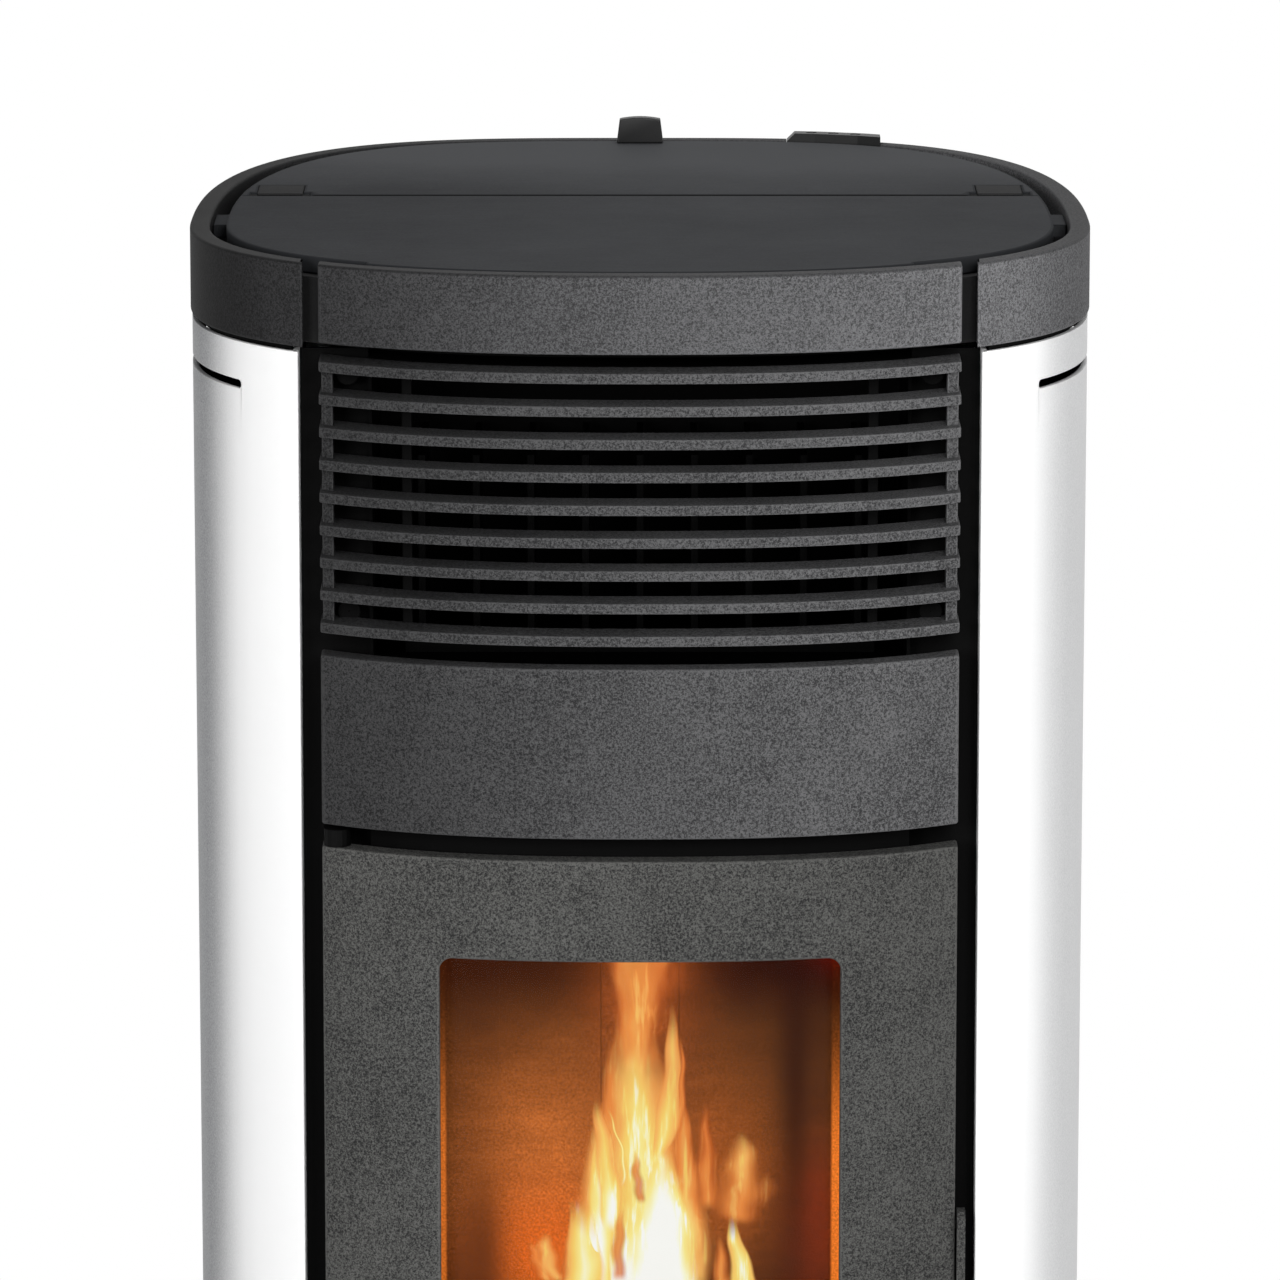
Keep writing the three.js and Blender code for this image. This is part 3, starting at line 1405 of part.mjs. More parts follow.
// Control panel: a slim housing in a notch of the crown at the rear right, with three buttons on top.
const controlTop = height + controlRise;
const controlBottom = controlTop - controlHeight;
const controlFace = inward([
  [controlInner, controlBottom],
  [controlOuter, controlBottom],
  [controlOuter, controlTop],
  [controlInner + controlRise, controlTop],
  [controlInner, controlTop - controlRise],
].map(([x, z]) => new THREE.Vector2(x, z)), 0, rearY);
const controlBand = upright(crownBand(0.5, crownWall - 0.5, crownEndX), controlBottom - 1, controlTop + 1);
const buttonPlaces = [-1, 0, 1].map((i) => {
  const x = controlInner + controlWidth / 2 + i * buttonPitch;
  const y = outlinePoint(outlineAngle(x, crownWall / 2, true), crownWall / 2).y;
  return [x, y];
});
const buttonFloor = controlTop - buttonWell;
add('control_panel', cut(
  controlFace.intersect(controlBand),
  ...buttonPlaces.map(([x, y]) => rodZ(buttonRadius + seat, x, y, buttonFloor, controlTop + 1, pinSteps)),
), 'plastic');
buttonPlaces.forEach(([x, y], i) => {
  add(`control_button_${i + 1}`, rodZ(
    buttonRadius, x, y, buttonFloor + buttonTravel + seat, controlTop - buttonRecess, pinSteps,
  ), 'plastic');
});

export default stove;
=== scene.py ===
"""Free-standing pellet stove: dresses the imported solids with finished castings, enamel, fire and a studio."""
import json
import math

import bmesh
import bpy
import numpy as np
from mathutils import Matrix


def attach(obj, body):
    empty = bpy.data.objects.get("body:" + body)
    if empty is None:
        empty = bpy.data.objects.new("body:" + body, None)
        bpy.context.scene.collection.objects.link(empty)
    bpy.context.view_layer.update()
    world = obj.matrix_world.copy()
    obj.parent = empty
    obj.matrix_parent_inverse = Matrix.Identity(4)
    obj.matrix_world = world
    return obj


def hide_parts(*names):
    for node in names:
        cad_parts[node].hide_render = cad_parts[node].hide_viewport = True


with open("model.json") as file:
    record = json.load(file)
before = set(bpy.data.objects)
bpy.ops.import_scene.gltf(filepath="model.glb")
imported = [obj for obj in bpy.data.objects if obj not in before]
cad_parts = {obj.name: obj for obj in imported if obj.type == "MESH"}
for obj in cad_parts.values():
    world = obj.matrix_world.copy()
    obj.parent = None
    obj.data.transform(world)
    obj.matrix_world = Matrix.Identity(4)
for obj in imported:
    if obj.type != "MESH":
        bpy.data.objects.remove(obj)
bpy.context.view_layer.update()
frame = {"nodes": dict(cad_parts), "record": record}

bl_info = {
    "name": "Pellet stove",
    "version": (1, 0, 0),
    "blender": (4, 5, 0),
    "location": "3D View > Sidebar > Stove",
    "description": "Finishes the castings, panels, fire and studio of a pellet stove",
    "category": "Add Mesh",
}

MM = 0.001
MERGE_WITHIN = 2e-6
EASE = 0.6  # a flat begins this share of a radius beyond the end of its rounded edge

# ---- Sizes shared with the solids, in millimetres ------------------------------------------------

# Plan outline: half width, depth ahead of and behind the widest line, and the powers of its curves.
HALF_WIDTH = 271.5
FRONT_DEPTH = 213.0
REAR_DEPTH = 342.0
FRONT_POWER = 2.42
REAR_WIDTH_POWER = 3.5
REAR_DEPTH_POWER = 2.5
WIDEST_Y = (FRONT_DEPTH - REAR_DEPTH) / 2
HEIGHT = 1105.0
SEAT = 0.3
SMALL_EDGE = 0.6

# Castings. A pair holds a lower and an upper edge, or a near and a far one.
CAST_HALF = 188.5
CAST_WALL = 12.0
CROWN_BOTTOM = 1054.5
CROWN_END_X = 200.5
WEB_SPAN = (CROWN_END_X - 40.0, CROWN_END_X + 17.0)
WEB_DEPTH = (12.3, 20.3)
CONTROL = (94.2, 154.3)
CONTROL_RISE = 5.0
CONTROL_HEIGHT = 44.0
FASCIA = (HEIGHT - 46.7, HEIGHT)
MIDDLE = (769.4, 871.6)
LIP_DEPTH = 16.5
LIP_HEIGHT = 6.0
DRAWER = (176.9, 292.4)
LOWER = (29.4, 163.4)

# Round lugs behind the castings, and the stems behind the drawer's front.
LUG_X = 172.0
LUG_RADIUS = 7.0
LUG_BACK = -203.3
LUG_SUNK = 4.0
STEM_X = 90.0
STEM_Z = 244.1
STEM_RADIUS = 9.0
STEM_BACK = -207.3

# Warm-air grille.
SLAT_PITCH = 19.5
SLAT_TOPS = [1047.3 - SLAT_PITCH * i for i in range(9)]
SLAT_THICKNESS = 6.2
SLAT_DEPTH = 25.0
SLAT_EDGE = 0.9
POST_X = (CAST_HALF - 8.0, CAST_HALF - 1.2)
POST_DEPTH = (9.0, 25.5)
RIB_X = (134.0, 140.0)
RIB_DEPTH = (23.5, 32.0)

# Door, its window and the boss that the handle turns in.
DOOR = (305.9, 755.9)
DOOR_WALL = 15.0
DOOR_CORNER = 1.6
WINDOW_HALF = 118.7
WINDOW = (374.9, 694.9)
WINDOW_RADIUS = 8.0
WINDOW_LIP = 2.0
BOSS_RADIUS = 9.0
BOSS_X = (176.5, 187.8)
HANDLE_AXIS = (0.0, -222.0, 519.9)

# Side panels and their slots.
PANEL_FRONT_X = 200.8
PANEL_REAR_X = 200.0
PANEL_INSET = 1.0
PANEL_WALL = 3.0
PANEL_EDGE = 0.5
PANEL_BEND = 3.0
PANEL_FLANGE = 28.0
PANEL_BOTTOM = 24.3
PANEL_TOP = 1051.3
SLOT_X = 236.0
SLOT_TOP = PANEL_TOP - 22.8
SLOT_HEIGHT = 5.5

# Top plate, lid, hinges and pull.
LID_LINE_Y = 35.0
PLATE_EDGE_Y = 30.2
PLATE_BOTTOM = 1095.0
PLATE_HALF = HALF_WIDTH - CAST_WALL - 10.0
PLATE_FRONT = FRONT_DEPTH - CAST_WALL - 2.0
PLATE_REAR = REAR_DEPTH - CAST_WALL - 2.5
WEB_X = 160.3
WEB_INSET = 21.3
NOSE = 3.8
HINGE_X = (208.0, 236.0)
HINGE_LENGTH = 38.0
HINGE_GAP = 0.2
KNUCKLE_DROP = 0.5
BAY_WIDTH = 4.3
BAY_DEPTH = 10.5
LEG_PLACES = ((150.0, -150.0), (200.0, 0.0))
LEG_RADIUS = 8.0
SPACER_X = (236.5, HALF_WIDTH - CAST_WALL - 0.6)
SPACER_Y = (-47.0, -7.0)
SPACER_Z = (1091.0, 1099.0)
PULL_Y = (250.0, 259.0)
PULL_FOOT = 14.9
PULL_TOP = 13.0
PULL_SHOULDER_Z = 1120.5
PULL_ARCH = 5.2

# Feet, and the middle line of either pipe.
FEET = {"front_left": (-185.0, -165.0), "front_right": (185.0, -165.0),
        "rear_left": (-185.0, 180.0), "rear_right": (185.0, 180.0)}
FLUE_AXIS = (-90.0, 0.0, 92.3)
AIR_AXIS = (84.0, 0.0, 365.3)

# Camera and lamps, in metres. The focal length is counted in pixels of the frame.
CAMERA_SPOT = (0.0, -5.0645, 1.8847)
FOCAL_PIXELS = 8359.3
FRAME_PIXELS = 1280
SENSOR_WIDTH = 36.0
LAMP_AIM = (0.0, 0.0, 0.85)


# ---- Plan outline ---------------------------------------------------------------------------------

def superellipse(angle):
    """A front and a rear half superellipse of unit size, with their powers along x and y. Angle 0 is the
    right, a quarter turn the rear."""
    c, s = np.cos(angle), np.sin(angle)
    ahead = s < 0
    across = np.where(ahead, FRONT_POWER, REAR_WIDTH_POWER)
    along = np.where(ahead, FRONT_POWER, REAR_DEPTH_POWER)
    return np.sign(c) * np.abs(c) ** (2 / across), np.sign(s) * np.abs(s) ** (2 / along), across, along


def outline(angle, inset):
    """The stove seen from above: both halves meet on its widest line. Each point is moved inwards along
    the normal by the inset."""
    u, v, across, along = superellipse(angle)
    depth = np.where(v < 0, FRONT_DEPTH, REAR_DEPTH)
    nx = across * np.sign(u) * np.abs(u) ** (across - 1) / HALF_WIDTH
    ny = along * np.sign(v) * np.abs(v) ** (along - 1) / depth
    length = np.hypot(nx, ny)
    return HALF_WIDTH * u - inset * nx / length, WIDEST_Y + depth * v - inset * ny / length


def angle_at(x, inset, rear=False):
    """The angle in the right half at which the inset outline reaches x, found by halving the interval."""
    x, inset = np.broadcast_arrays(np.asarray(x, float), np.asarray(inset, float))
    low = np.full(x.shape, math.pi / 2 if rear else -math.pi / 2)
    high = np.zeros(x.shape)
    for _ in range(44):
        middle = (low + high) / 2
        short = outline(middle, inset)[0] < x
        low, high = np.where(short, middle, low), np.where(short, high, middle)
    return (low + high) / 2


def front_y(x, inset):
    """Depth of the stove's front at x, for a surface set back from it by the inset."""
    return outline(angle_at(np.abs(x), inset), inset)[1]


# ---- Meshes from grids ------------------------------------------------------------------------------

def grid_faces(rows, columns, wrap_rows=False, wrap_columns=False):
    """Quads between neighbouring rows and columns; a wrapped direction joins its last line to its first."""
    r = np.arange(rows if wrap_rows else rows - 1)
    c = np.arange(columns if wrap_columns else columns - 1)
    r, c = np.meshgrid(r, c, indexing="ij")
    r1, c1 = (r + 1) % rows, (c + 1) % columns
    quads = np.stack([r * columns + c, r * columns + c1, r1 * columns + c1, r1 * columns + c], -1)
    return quads.reshape(-1, 4).tolist()


def tube(points, rim):
    """A closed profile (columns) carried through rows; the first and last profiles are filled."""
    rows, columns = points.shape[:2]
    faces = grid_faces(rows, columns, False, True)
    faces.append(list(range(columns)))
    faces.append([(rows - 1) * columns + i for i in range(columns)])
    return points.reshape(-1, 3), faces, np.broadcast_to(rim, points.shape[:2]).reshape(-1)


def make_piece(name, parts, material, body, replaces=(), sharp=40.0, closed=True, merge=True):
    """Joins parts (points in millimetres, faces, rim value per point) into one object, smooth up to the
    sharp angle, riding on a body and standing for the solids that it replaces. A sheet isn't closed, and
    keeps the side that its faces have; points that carry values of their own aren't merged."""
    points, faces, rim, count = [], [], [], 0
    for part_points, part_faces, part_rim in parts:
        points.append(part_points)
        rim.append(part_rim)
        faces += [[i + count for i in face] for face in part_faces]
        count += len(part_points)
    mesh = bpy.data.meshes.new(name)
    mesh.from_pydata(np.concatenate(points) * MM, [], faces)
    attribute = mesh.attributes.new("rim", "FLOAT", "POINT")
    attribute.data.foreach_set("value", np.concatenate(rim).astype(np.float32))
    work = bmesh.new()
    work.from_mesh(mesh)
    if merge:
        bmesh.ops.remove_doubles(work, verts=work.verts, dist=MERGE_WITHIN)
    if closed:
        bmesh.ops.recalc_face_normals(work, faces=work.faces)
    work.to_mesh(mesh)
    work.free()
    mesh.shade_smooth()
    mesh.set_sharp_from_angle(angle=math.radians(sharp))
    mesh.materials.append(material)
    piece = bpy.data.objects.new(name, mesh)
    bpy.context.scene.collection.objects.link(piece)
    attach(piece, body)
    if replaces:
        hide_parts(*replaces)
    return piece


def sides(loop):
    """At each point of a closed loop, given counter-clockwise: the directions of the side before it and
    the side after it, and the normal of either, which points inwards."""
    before, after = loop - np.roll(loop, 1, 0), np.roll(loop, -1, 0) - loop
    e0 = before / np.linalg.norm(before, axis=1, keepdims=True)
    e1 = after / np.linalg.norm(after, axis=1, keepdims=True)
    return e0, e1, np.stack([-e0[:, 1], e0[:, 0]], 1), np.stack([-e1[:, 1], e1[:, 0]], 1)


def rounded(corners, radius, shrink, steps=4):
    """A polygon given counter-clockwise, with every side moved in by shrink and every corner turned by an
    arc. A point beside each arc keeps the flats flat. Shrink is one value per row; radius is one value or
    one per corner. Returns rows of points and the rim value of each column."""
    corners = np.asarray(corners, float)
    shrink = np.atleast_1d(np.asarray(shrink, float))[:, None, None]
    e0, e1, n0, n1 = sides(corners)
    cosine = np.sum(n0 * n1, 1, keepdims=True)
    bend = np.sign(e0[:, :1] * e1[:, 1:] - e0[:, 1:] * e1[:, :1])
    moved = corners + shrink * (n0 + n1) / (1 + cosine)
    angle = np.arccos(np.clip(cosine, -1, 1))
    full = np.broadcast_to(np.asarray(radius, float).reshape(-1, 1), (len(corners), 1))
    turn = np.maximum(full - bend * shrink, 0.02)
    reach = turn * np.tan(angle / 2)
    t = np.linspace(0, 1, steps + 1)[:, None, None]
    centre = moved - e0 * reach + n0 * turn * bend
    spoke = (n0 * np.sin((1 - t) * angle) + n1 * np.sin(t * angle)) / np.sin(angle)
    arcs = centre[None] - (turn * bend)[None] * spoke[:, None]
    lead = (moved - e0 * (reach + EASE * full))[None]
    tail = (moved + e1 * (reach + EASE * full))[None]
    loop = np.concatenate([lead, arcs, tail]).transpose(1, 2, 0, 3)
    rim = np.concatenate([[0], np.sin(np.linspace(0.15, math.pi - 0.15, steps + 1)), [0]])
    return loop.reshape(loop.shape[0], -1, 2), np.tile(rim, len(corners))


def end_rows(radius, steps=4):
    """How far each row of a rounded end lies from the end, and how much its profile shrinks: a quarter
    circle, then one more row that keeps the side flat."""
    turn = np.linspace(0, math.pi / 2, steps + 1)
    return (np.append(radius * (1 - np.cos(turn)), radius * (1 + EASE)),
            np.append(radius * (1 - np.sin(turn)), 0.0))


def carried(corners, start, end, radius, place, stations=1, steps=4, turn=None):
    """A rounded profile of (p, q) carried from start to end, with rounded ends. Place turns the arrays
    (along, p, q) into x, y and z."""
    gap, shrink = end_rows(radius, steps)
    middle = np.linspace(start + gap[-1], end - gap[-1], stations + 1)[1:-1]
    along = np.concatenate([start + gap, middle, (end - gap)[::-1]])
    shrinks = np.concatenate([shrink, np.zeros(len(middle)), shrink[::-1]])
    profile, rim = rounded(corners, radius if turn is None else turn, shrinks, steps)
    along = np.broadcast_to(along[:, None], profile.shape[:2])
    edge = np.concatenate([np.ones(steps + 1), np.zeros(len(middle) + 2), np.ones(steps + 1)])
    return tube(np.stack(place(along, profile[..., 0], profile[..., 1]), -1),
                np.maximum(rim[None], edge[:, None]))


def on_front(x, inset, z):
    """Carries a profile of (inset, z) across the front of the stove."""
    return x, front_y(x, inset), z


def front_bar(half, section, radius, stations=48):
    """A bar that follows the stove's front between -half and half: section corners are (inset, z)."""
    return carried(section, -half, half, radius, on_front, stations)


def rectangle(p0, p1, q0, q1):
    """Corners of a rectangle, counter-clockwise."""
    return [(p0, q0), (p1, q0), (p1, q1), (p0, q1)]


def both_sides(near, far):
    """The stretch from near to far on the left and on the right, each with its lower end first."""
    return (-far, -near), (near, far)


def along_x(x, y, z):
    """Carries a profile of (y, z) along X."""
    return x, y, z


def along_y(y, x, z):
    """Carries a profile of (x, z) along Y."""
    return x, y, z


def turned_round(corners, radius, centre, axis, steps, arc=3):
    """A profile of (radius, along) with rounded corners, turned about an axis through the centre: a ring
    of points for every profile point. Points on the axis meet in a pole."""
    profile, rim = rounded(corners, radius, 0.0, arc)
    away, along = np.maximum(profile[0, :, 0], 0.0), profile[0, :, 1]
    angle = np.linspace(0, 2 * math.pi, steps, endpoint=False)[:, None]
    a, b = away * np.cos(angle), away * np.sin(angle)
    c = np.broadcast_to(along, a.shape)
    order = {"x": (c, a, b), "y": (a, c, b), "z": (a, b, c)}[axis]
    points = np.stack(order, -1) + np.asarray(centre, float)
    return points.reshape(-1, 3), grid_faces(steps, len(away), True, True), np.tile(rim, steps)


def flat_loop(points, z0, z1, radius, steps=3):
    """A flat plate from a closed loop of (x, y), counter-clockwise: the loop is moved in along its own
    mitres for each row of the rounded edges, and the two faces are filled."""
    points = np.asarray(points, float)
    _, _, n0, n1 = sides(points)
    mitre = (n0 + n1) / (1 + np.sum(n0 * n1, 1, keepdims=True))
    turn = np.linspace(0, math.pi / 2, steps + 1)[:, None]
    radius = np.broadcast_to(np.asarray(radius, float), (len(points),))[None]
    inward, rise = radius * (1 - np.sin(turn)), radius * (1 - np.cos(turn))
    face = radius * 1.8
    shrink = np.concatenate([face, inward, inward[::-1], face])
    z = np.concatenate([radius * 0 + z0, z0 + rise, z1 - rise[::-1], radius * 0 + z1])
    xy = points[None] + shrink[..., None] * mitre[None]
    rim = np.concatenate([[0], np.ones(2 * steps + 2), [0]])
    return tube(np.concatenate([xy, z[..., None]], -1), rim[:, None])


# ---- Shader maths -------------------------------------------------------------------------------------

def srgb(red, green, blue):
    """A display colour of 0 to 255 as the linear colour that a shader takes."""
    def linear(value):
        value /= 255.0
        return value / 12.92 if value <= 0.04045 else ((value + 0.055) / 1.055) ** 2.4
    return linear(red), linear(green), linear(blue), 1.0


class Value:
    """A shader socket on which an expression adds Math nodes."""

    def __init__(self, finish, socket):
        self.finish = finish
        self.socket = socket

    def math(self, operation, *others, **settings):
        inputs = dict(enumerate((self,) + others))
        return self.finish.node("ShaderNodeMath", inputs, operation=operation, **settings)

    def __add__(self, other):
        return self.math("ADD", other)

    __radd__ = __add__

    def __mul__(self, other):
        return self.math("MULTIPLY", other)

    __rmul__ = __mul__

    def __sub__(self, other):
        return self.math("SUBTRACT", other)

    def __rsub__(self, other):
        return self.math("MULTIPLY", -1.0).math("ADD", other)

    def __truediv__(self, other):
        return self.math("DIVIDE", other)

    def __neg__(self):
        return self.math("MULTIPLY", -1.0)

    def __abs__(self):
        return self.math("ABSOLUTE")

    def clamp(self):
        return self.math("ADD", 0.0, use_clamp=True)

    def ramp(self, low, high):
        """0 below low, 1 above high, and smooth between them."""
        return self.finish.node("ShaderNodeMapRange", {"Value": self, "From Min": low, "From Max": high},
                                interpolation_type="SMOOTHSTEP")


class Finish:
    """A node material. Its nodes are added by one method and its colours are mixed by another."""

    def __init__(self, name, world=None):
        self.material = bpy.data.materials.new(name) if world is None else world
        self.material.use_nodes = True
        self.tree = self.material.node_tree
        self.tree.nodes.clear()

    def node(self, kind, inputs=None, output=0, stops=None, **settings):
        """Adds a node: its settings first, then the values or links of its sockets."""
        node = self.tree.nodes.new(kind)
        for key, value in settings.items():
            setattr(node, key, value)
        if stops:
            ramp = node.color_ramp
            while len(ramp.elements) > 1:
                ramp.elements.remove(ramp.elements[-1])
            ramp.elements[0].position, ramp.elements[0].color = stops[0]
            for position, colour in stops[1:]:
                ramp.elements.new(position).color = colour
        for key, value in (inputs or {}).items():
            if isinstance(value, Value):
                self.tree.links.new(value.socket, node.inputs[key])
            else:
                node.inputs[key].default_value = value
        return Value(self, node.outputs[output]) if len(node.outputs) else None

    def place(self, stretch=(1, 1, 1), shift=(0, 0, 0)):
        """Object coordinates, stretched and shifted."""
        at = self.node("ShaderNodeTexCoord", output="Object")
        return self.node("ShaderNodeMapping", {"Vector": at, "Location": shift, "Scale": stretch})

    def parts(self, at=None):
        """The x, y and z of the coordinates."""
        at = at or self.node("ShaderNodeTexCoord", output="Object")
        split = self.node("ShaderNodeSeparateXYZ", {"Vector": at})
        node = split.socket.node
        return [Value(self, node.outputs[i]) for i in range(3)]

    def noise(self, at, scale, detail=2.0, rough=0.5):
        return self.node("ShaderNodeTexNoise", {"Vector": at, "Scale": scale, "Detail": detail,
                                                "Roughness": rough})

    def cells(self, at, scale):
        return self.node("ShaderNodeTexVoronoi", {"Vector": at, "Scale": scale})

    def mix(self, low, high, factor, blend="MIX"):
        return self.node("ShaderNodeMix", {0: factor, 6: low, 7: high}, output=2, data_type="RGBA",
                         blend_type=blend)

    def bump(self, height, strength, distance):
        return self.node("ShaderNodeBump", {"Height": height, "Strength": strength, "Distance": distance})

    def tone(self, value, stops):
        """A grey that follows a coordinate in metres through stops of (place, level)."""
        low, high = stops[0][0], stops[-1][0]
        share = (value - low) / (high - low)
        return self.node("ShaderNodeValToRGB", {"Fac": share}, stops=[
            ((place - low) / (high - low), (level, level, level, 1)) for place, level in stops])

    def rim(self):
        """1 on a rounded edge and 0 on a flat."""
        return self.node("ShaderNodeAttribute", output="Fac", attribute_name="rim")

    def seen(self):
        """1 for the camera, a reflection and a look through glass, and 0 for any other light."""
        rays = [self.node("ShaderNodeLightPath", output=name)
                for name in ("Is Camera Ray", "Is Glossy Ray", "Is Transmission Ray")]
        return rays[0].math("MAXIMUM", rays[1]).math("MAXIMUM", rays[2])

    def shade(self, **sockets):
        """Ends the material in one shader whose sockets are given by name, with spaces as underscores."""
        inputs = {name.replace("_", " "): value for name, value in sockets.items()}
        shader = self.node("ShaderNodeBsdfPrincipled", inputs)
        self.node("ShaderNodeOutputMaterial", {"Surface": shader})
        return self.material


def grey(level):
    """A grey of 0 to 255, a hair cooler than neutral."""
    return srgb(level, level, level * 1.01)


def sandy_iron(name, dark, light, painted_shade_tones, top=1.0):
    """Stove paint on sand-cast iron: fine speckled grain, soft clouds, edges lighter as rubbed paint and as a
    painted highlight. Painted shade tones darken it from left to right, as if lit from the right, and top
    says how far it is darkened on the very top."""
    f = Finish(name)
    at = f.place()
    x, _, z = f.parts()
    clouds = f.noise(at, 11.0, 4.0, 0.6)
    patches = f.noise(f.place(shift=(0.3, 0.1, 0.7)), 46.0, 3.0, 0.55)
    grain = f.noise(at, 620.0, 2.0, 0.7)
    fine = f.noise(at, 1300.0, 1.0, 0.5)
    pits = 1 - f.cells(at, 330.0).ramp(0.04, 0.2)
    level = (0.5 + (clouds - 0.5) * 0.8 + (patches - 0.5) * 0.3 + (grain - 0.5) * 3.0
             + (fine - 0.5) * 2.2 - pits * 0.3)
    # edges lighter: partly rubbed paint, partly a painted highlight
    colour = f.mix(dark, light, (level + f.rim() * 0.4).clamp())
    # painted shade from left to right, and the very top darkened by the share top
    above = 1 - z.ramp(HEIGHT * MM - 0.0020, HEIGHT * MM - 0.0008) * (1.0 - top)
    colour = f.mix(colour, f.tone(x, painted_shade_tones) * above, 1.0, "MULTIPLY")
    height = grain * 0.7 + fine * 0.3 - pits * 0.5
    normal = f.bump(height, 0.4, 0.0006)
    roughness = 0.66 + (clouds - 0.5) * 0.12 + (fine - 0.5) * 0.1
    return f.shade(Base_Color=colour, Roughness=roughness, Specular_IOR_Level=0.08, Normal=normal)


def satin_plate(name, dark, light):
    """Smooth satin paint on sheet steel: a faint rolled grain and dusty clouds, a painted sheen that pales it
    to the rear, painted shade on the rims and to the left, and a painted shadow in the gap where the lid
    meets the plate."""
    f = Finish(name)
    at = f.place()
    x, y, _ = f.parts()
    clouds = f.noise(at, 8.0, 4.0, 0.6)
    brushed = f.noise(f.place(stretch=(1, 9, 1)), 60.0, 3.0, 0.6)
    fine = f.noise(at, 700.0, 2.0, 0.6)
    # painted sheen paler to the rear; painted shade darker on the rims and to the left
    level = (0.4 + (clouds - 0.5) * 0.9 + (brushed - 0.5) * 0.3 + (fine - 0.5) * 0.6 - f.rim() * 0.9
             + y.ramp(0.02, 0.24) * 0.9 - (-x).ramp(0.0, 0.24) * 0.3)
    # painted shadow in the gap where the lid meets the plate
    gap_shadow = y.ramp(0.0285, 0.0300) * (1 - y.ramp(0.0335, 0.0350)) * (1 - abs(x).ramp(0.236, 0.244))
    colour = f.mix(f.mix(dark, light, level.clamp()), grey(6), gap_shadow * 0.9)
    normal = f.bump(fine, 0.05, 0.0003)
    roughness = 0.72 + (clouds - 0.5) * 0.10 + (fine - 0.5) * 0.06
    return f.shade(Base_Color=colour, Roughness=roughness, Specular_IOR_Level=0.02, Normal=normal)


def white_enamel(name, shade_grey, face):
    """Satin white enamel on sheet: an even coat with a fine orange peel, and a grainy grey painted shade on
    the bend at either side, deeper on the left and kept to the front."""
    f = Finish(name)
    x, y, _ = f.parts()
    drift = f.noise(f.place(stretch=(1, 1, 0.25)), 9.0, 3.0, 0.55)
    peel = f.noise(f.place(), 330.0, 2.0, 0.5)
    fine = f.noise(f.place(), 900.0, 2.0, 0.6)
    place = x + (drift - 0.5) * 0.006
    # painted shade: the white greys where each side turns away from the light, more on the left
    painted_shade = f.tone(place, [(-0.275, 0.30), (-0.262, 0.30), (-0.2585, 0.36), (-0.255, 0.47), (-0.2505, 0.64),
                           (-0.245, 0.82), (-0.239, 0.95), (-0.231, 1.0), (0.226, 1.0), (0.2367, 0.88),
                           (0.2427, 0.76), (0.2485, 0.67), (0.256, 0.62), (0.275, 0.64)])
    # the painted shade fades out towards the rear
    painted_shade = painted_shade + y.ramp(0.01, 0.08) * 0.8
    grain = (fine - 0.5) * 0.9 * (1 - painted_shade.clamp())
    colour = f.mix(shade_grey, face, (painted_shade + grain).clamp())
    normal = f.bump(peel * 0.7 + fine * 0.3, 0.05, 0.0003)
    roughness = 0.42 + (drift - 0.5) * 0.08 + (fine - 0.5) * 0.06
    return f.shade(Base_Color=colour, Roughness=roughness, Specular_IOR_Level=0.06, Normal=normal)


def black_paint(name, dark, light, rough=0.6, gloss=0.06):
    """Matt black heat-resistant paint on folded sheet."""
    f = Finish(name)
    at = f.place()
    clouds = f.noise(at, 14.0, 3.0, 0.6)
    grain = f.noise(at, 800.0, 2.0, 0.6)
    colour = f.mix(dark, light, (0.5 + (clouds - 0.5) * 0.8 + (grain - 0.5) * 0.5).clamp())
    normal = f.bump(grain, 0.15, 0.0004)
    roughness = rough + (clouds - 0.5) * 0.15 + (grain - 0.5) * 0.08
    return f.shade(Base_Color=colour, Roughness=roughness, Specular_IOR_Level=gloss, Normal=normal)


def sheet_steel(name, dark, light, rough=0.42, metal=0.85):
    """Galvanised or plain sheet steel: crystal patches, rolling lines and a dull sheen."""
    f = Finish(name)
    at = f.place()
    crystals = f.cells(at, 90.0)
    rolled = f.noise(f.place(stretch=(1, 1, 14)), 70.0, 3.0, 0.6)
    stain = f.noise(at, 12.0, 4.0, 0.6)
    level = 0.35 + crystals * 0.5 + (rolled - 0.5) * 0.35 + (stain - 0.5) * 0.6
    colour = f.mix(dark, light, level.clamp())
    roughness = rough + crystals * 0.12 + (stain - 0.5) * 0.25
    normal = f.bump(rolled, 0.06, 0.0003)
    return f.shade(Base_Color=colour, Roughness=roughness, Metallic=metal, Normal=normal)


def woven_rope(name, dark, light):
    """Braided glass-fibre rope: slanting strands over the cord, with loose fibre."""
    f = Finish(name)
    x, y, z = f.parts(f.place())
    strands = ((x + z + y * 0.7) * 1400.0).math("SINE") * 0.5 + 0.5
    cross = ((x - z - y * 0.7) * 1400.0).math("SINE") * 0.5 + 0.5
    fibre = f.noise(f.place(), 900.0, 3.0, 0.7)
    weave = strands.math("MAXIMUM", cross)
    colour = f.mix(dark, light, (weave * 0.7 + (fibre - 0.5) * 0.7).clamp())
    normal = f.bump(weave * 0.8 + fibre * 0.2, 0.6, 0.001)
    return f.shade(Base_Color=colour, Roughness=0.86 + (fibre - 0.5) * 0.15, Normal=normal)


def moulded_plastic(name, dark, light):
    """Black moulded plastic with a fine spark texture."""
    f = Finish(name)
    at = f.place()
    spark = f.noise(at, 1300.0, 2.0, 0.6)
    sheen = f.noise(at, 30.0, 2.0, 0.5)
    colour = f.mix(dark, light, (0.5 + (sheen - 0.5) * 0.6 + (spark - 0.5) * 0.5).clamp())
    normal = f.bump(spark, 0.18, 0.0003)
    return f.shade(Base_Color=colour, Roughness=0.42 + (spark - 0.5) * 0.12, Specular_IOR_Level=0.2,
                   Normal=normal)


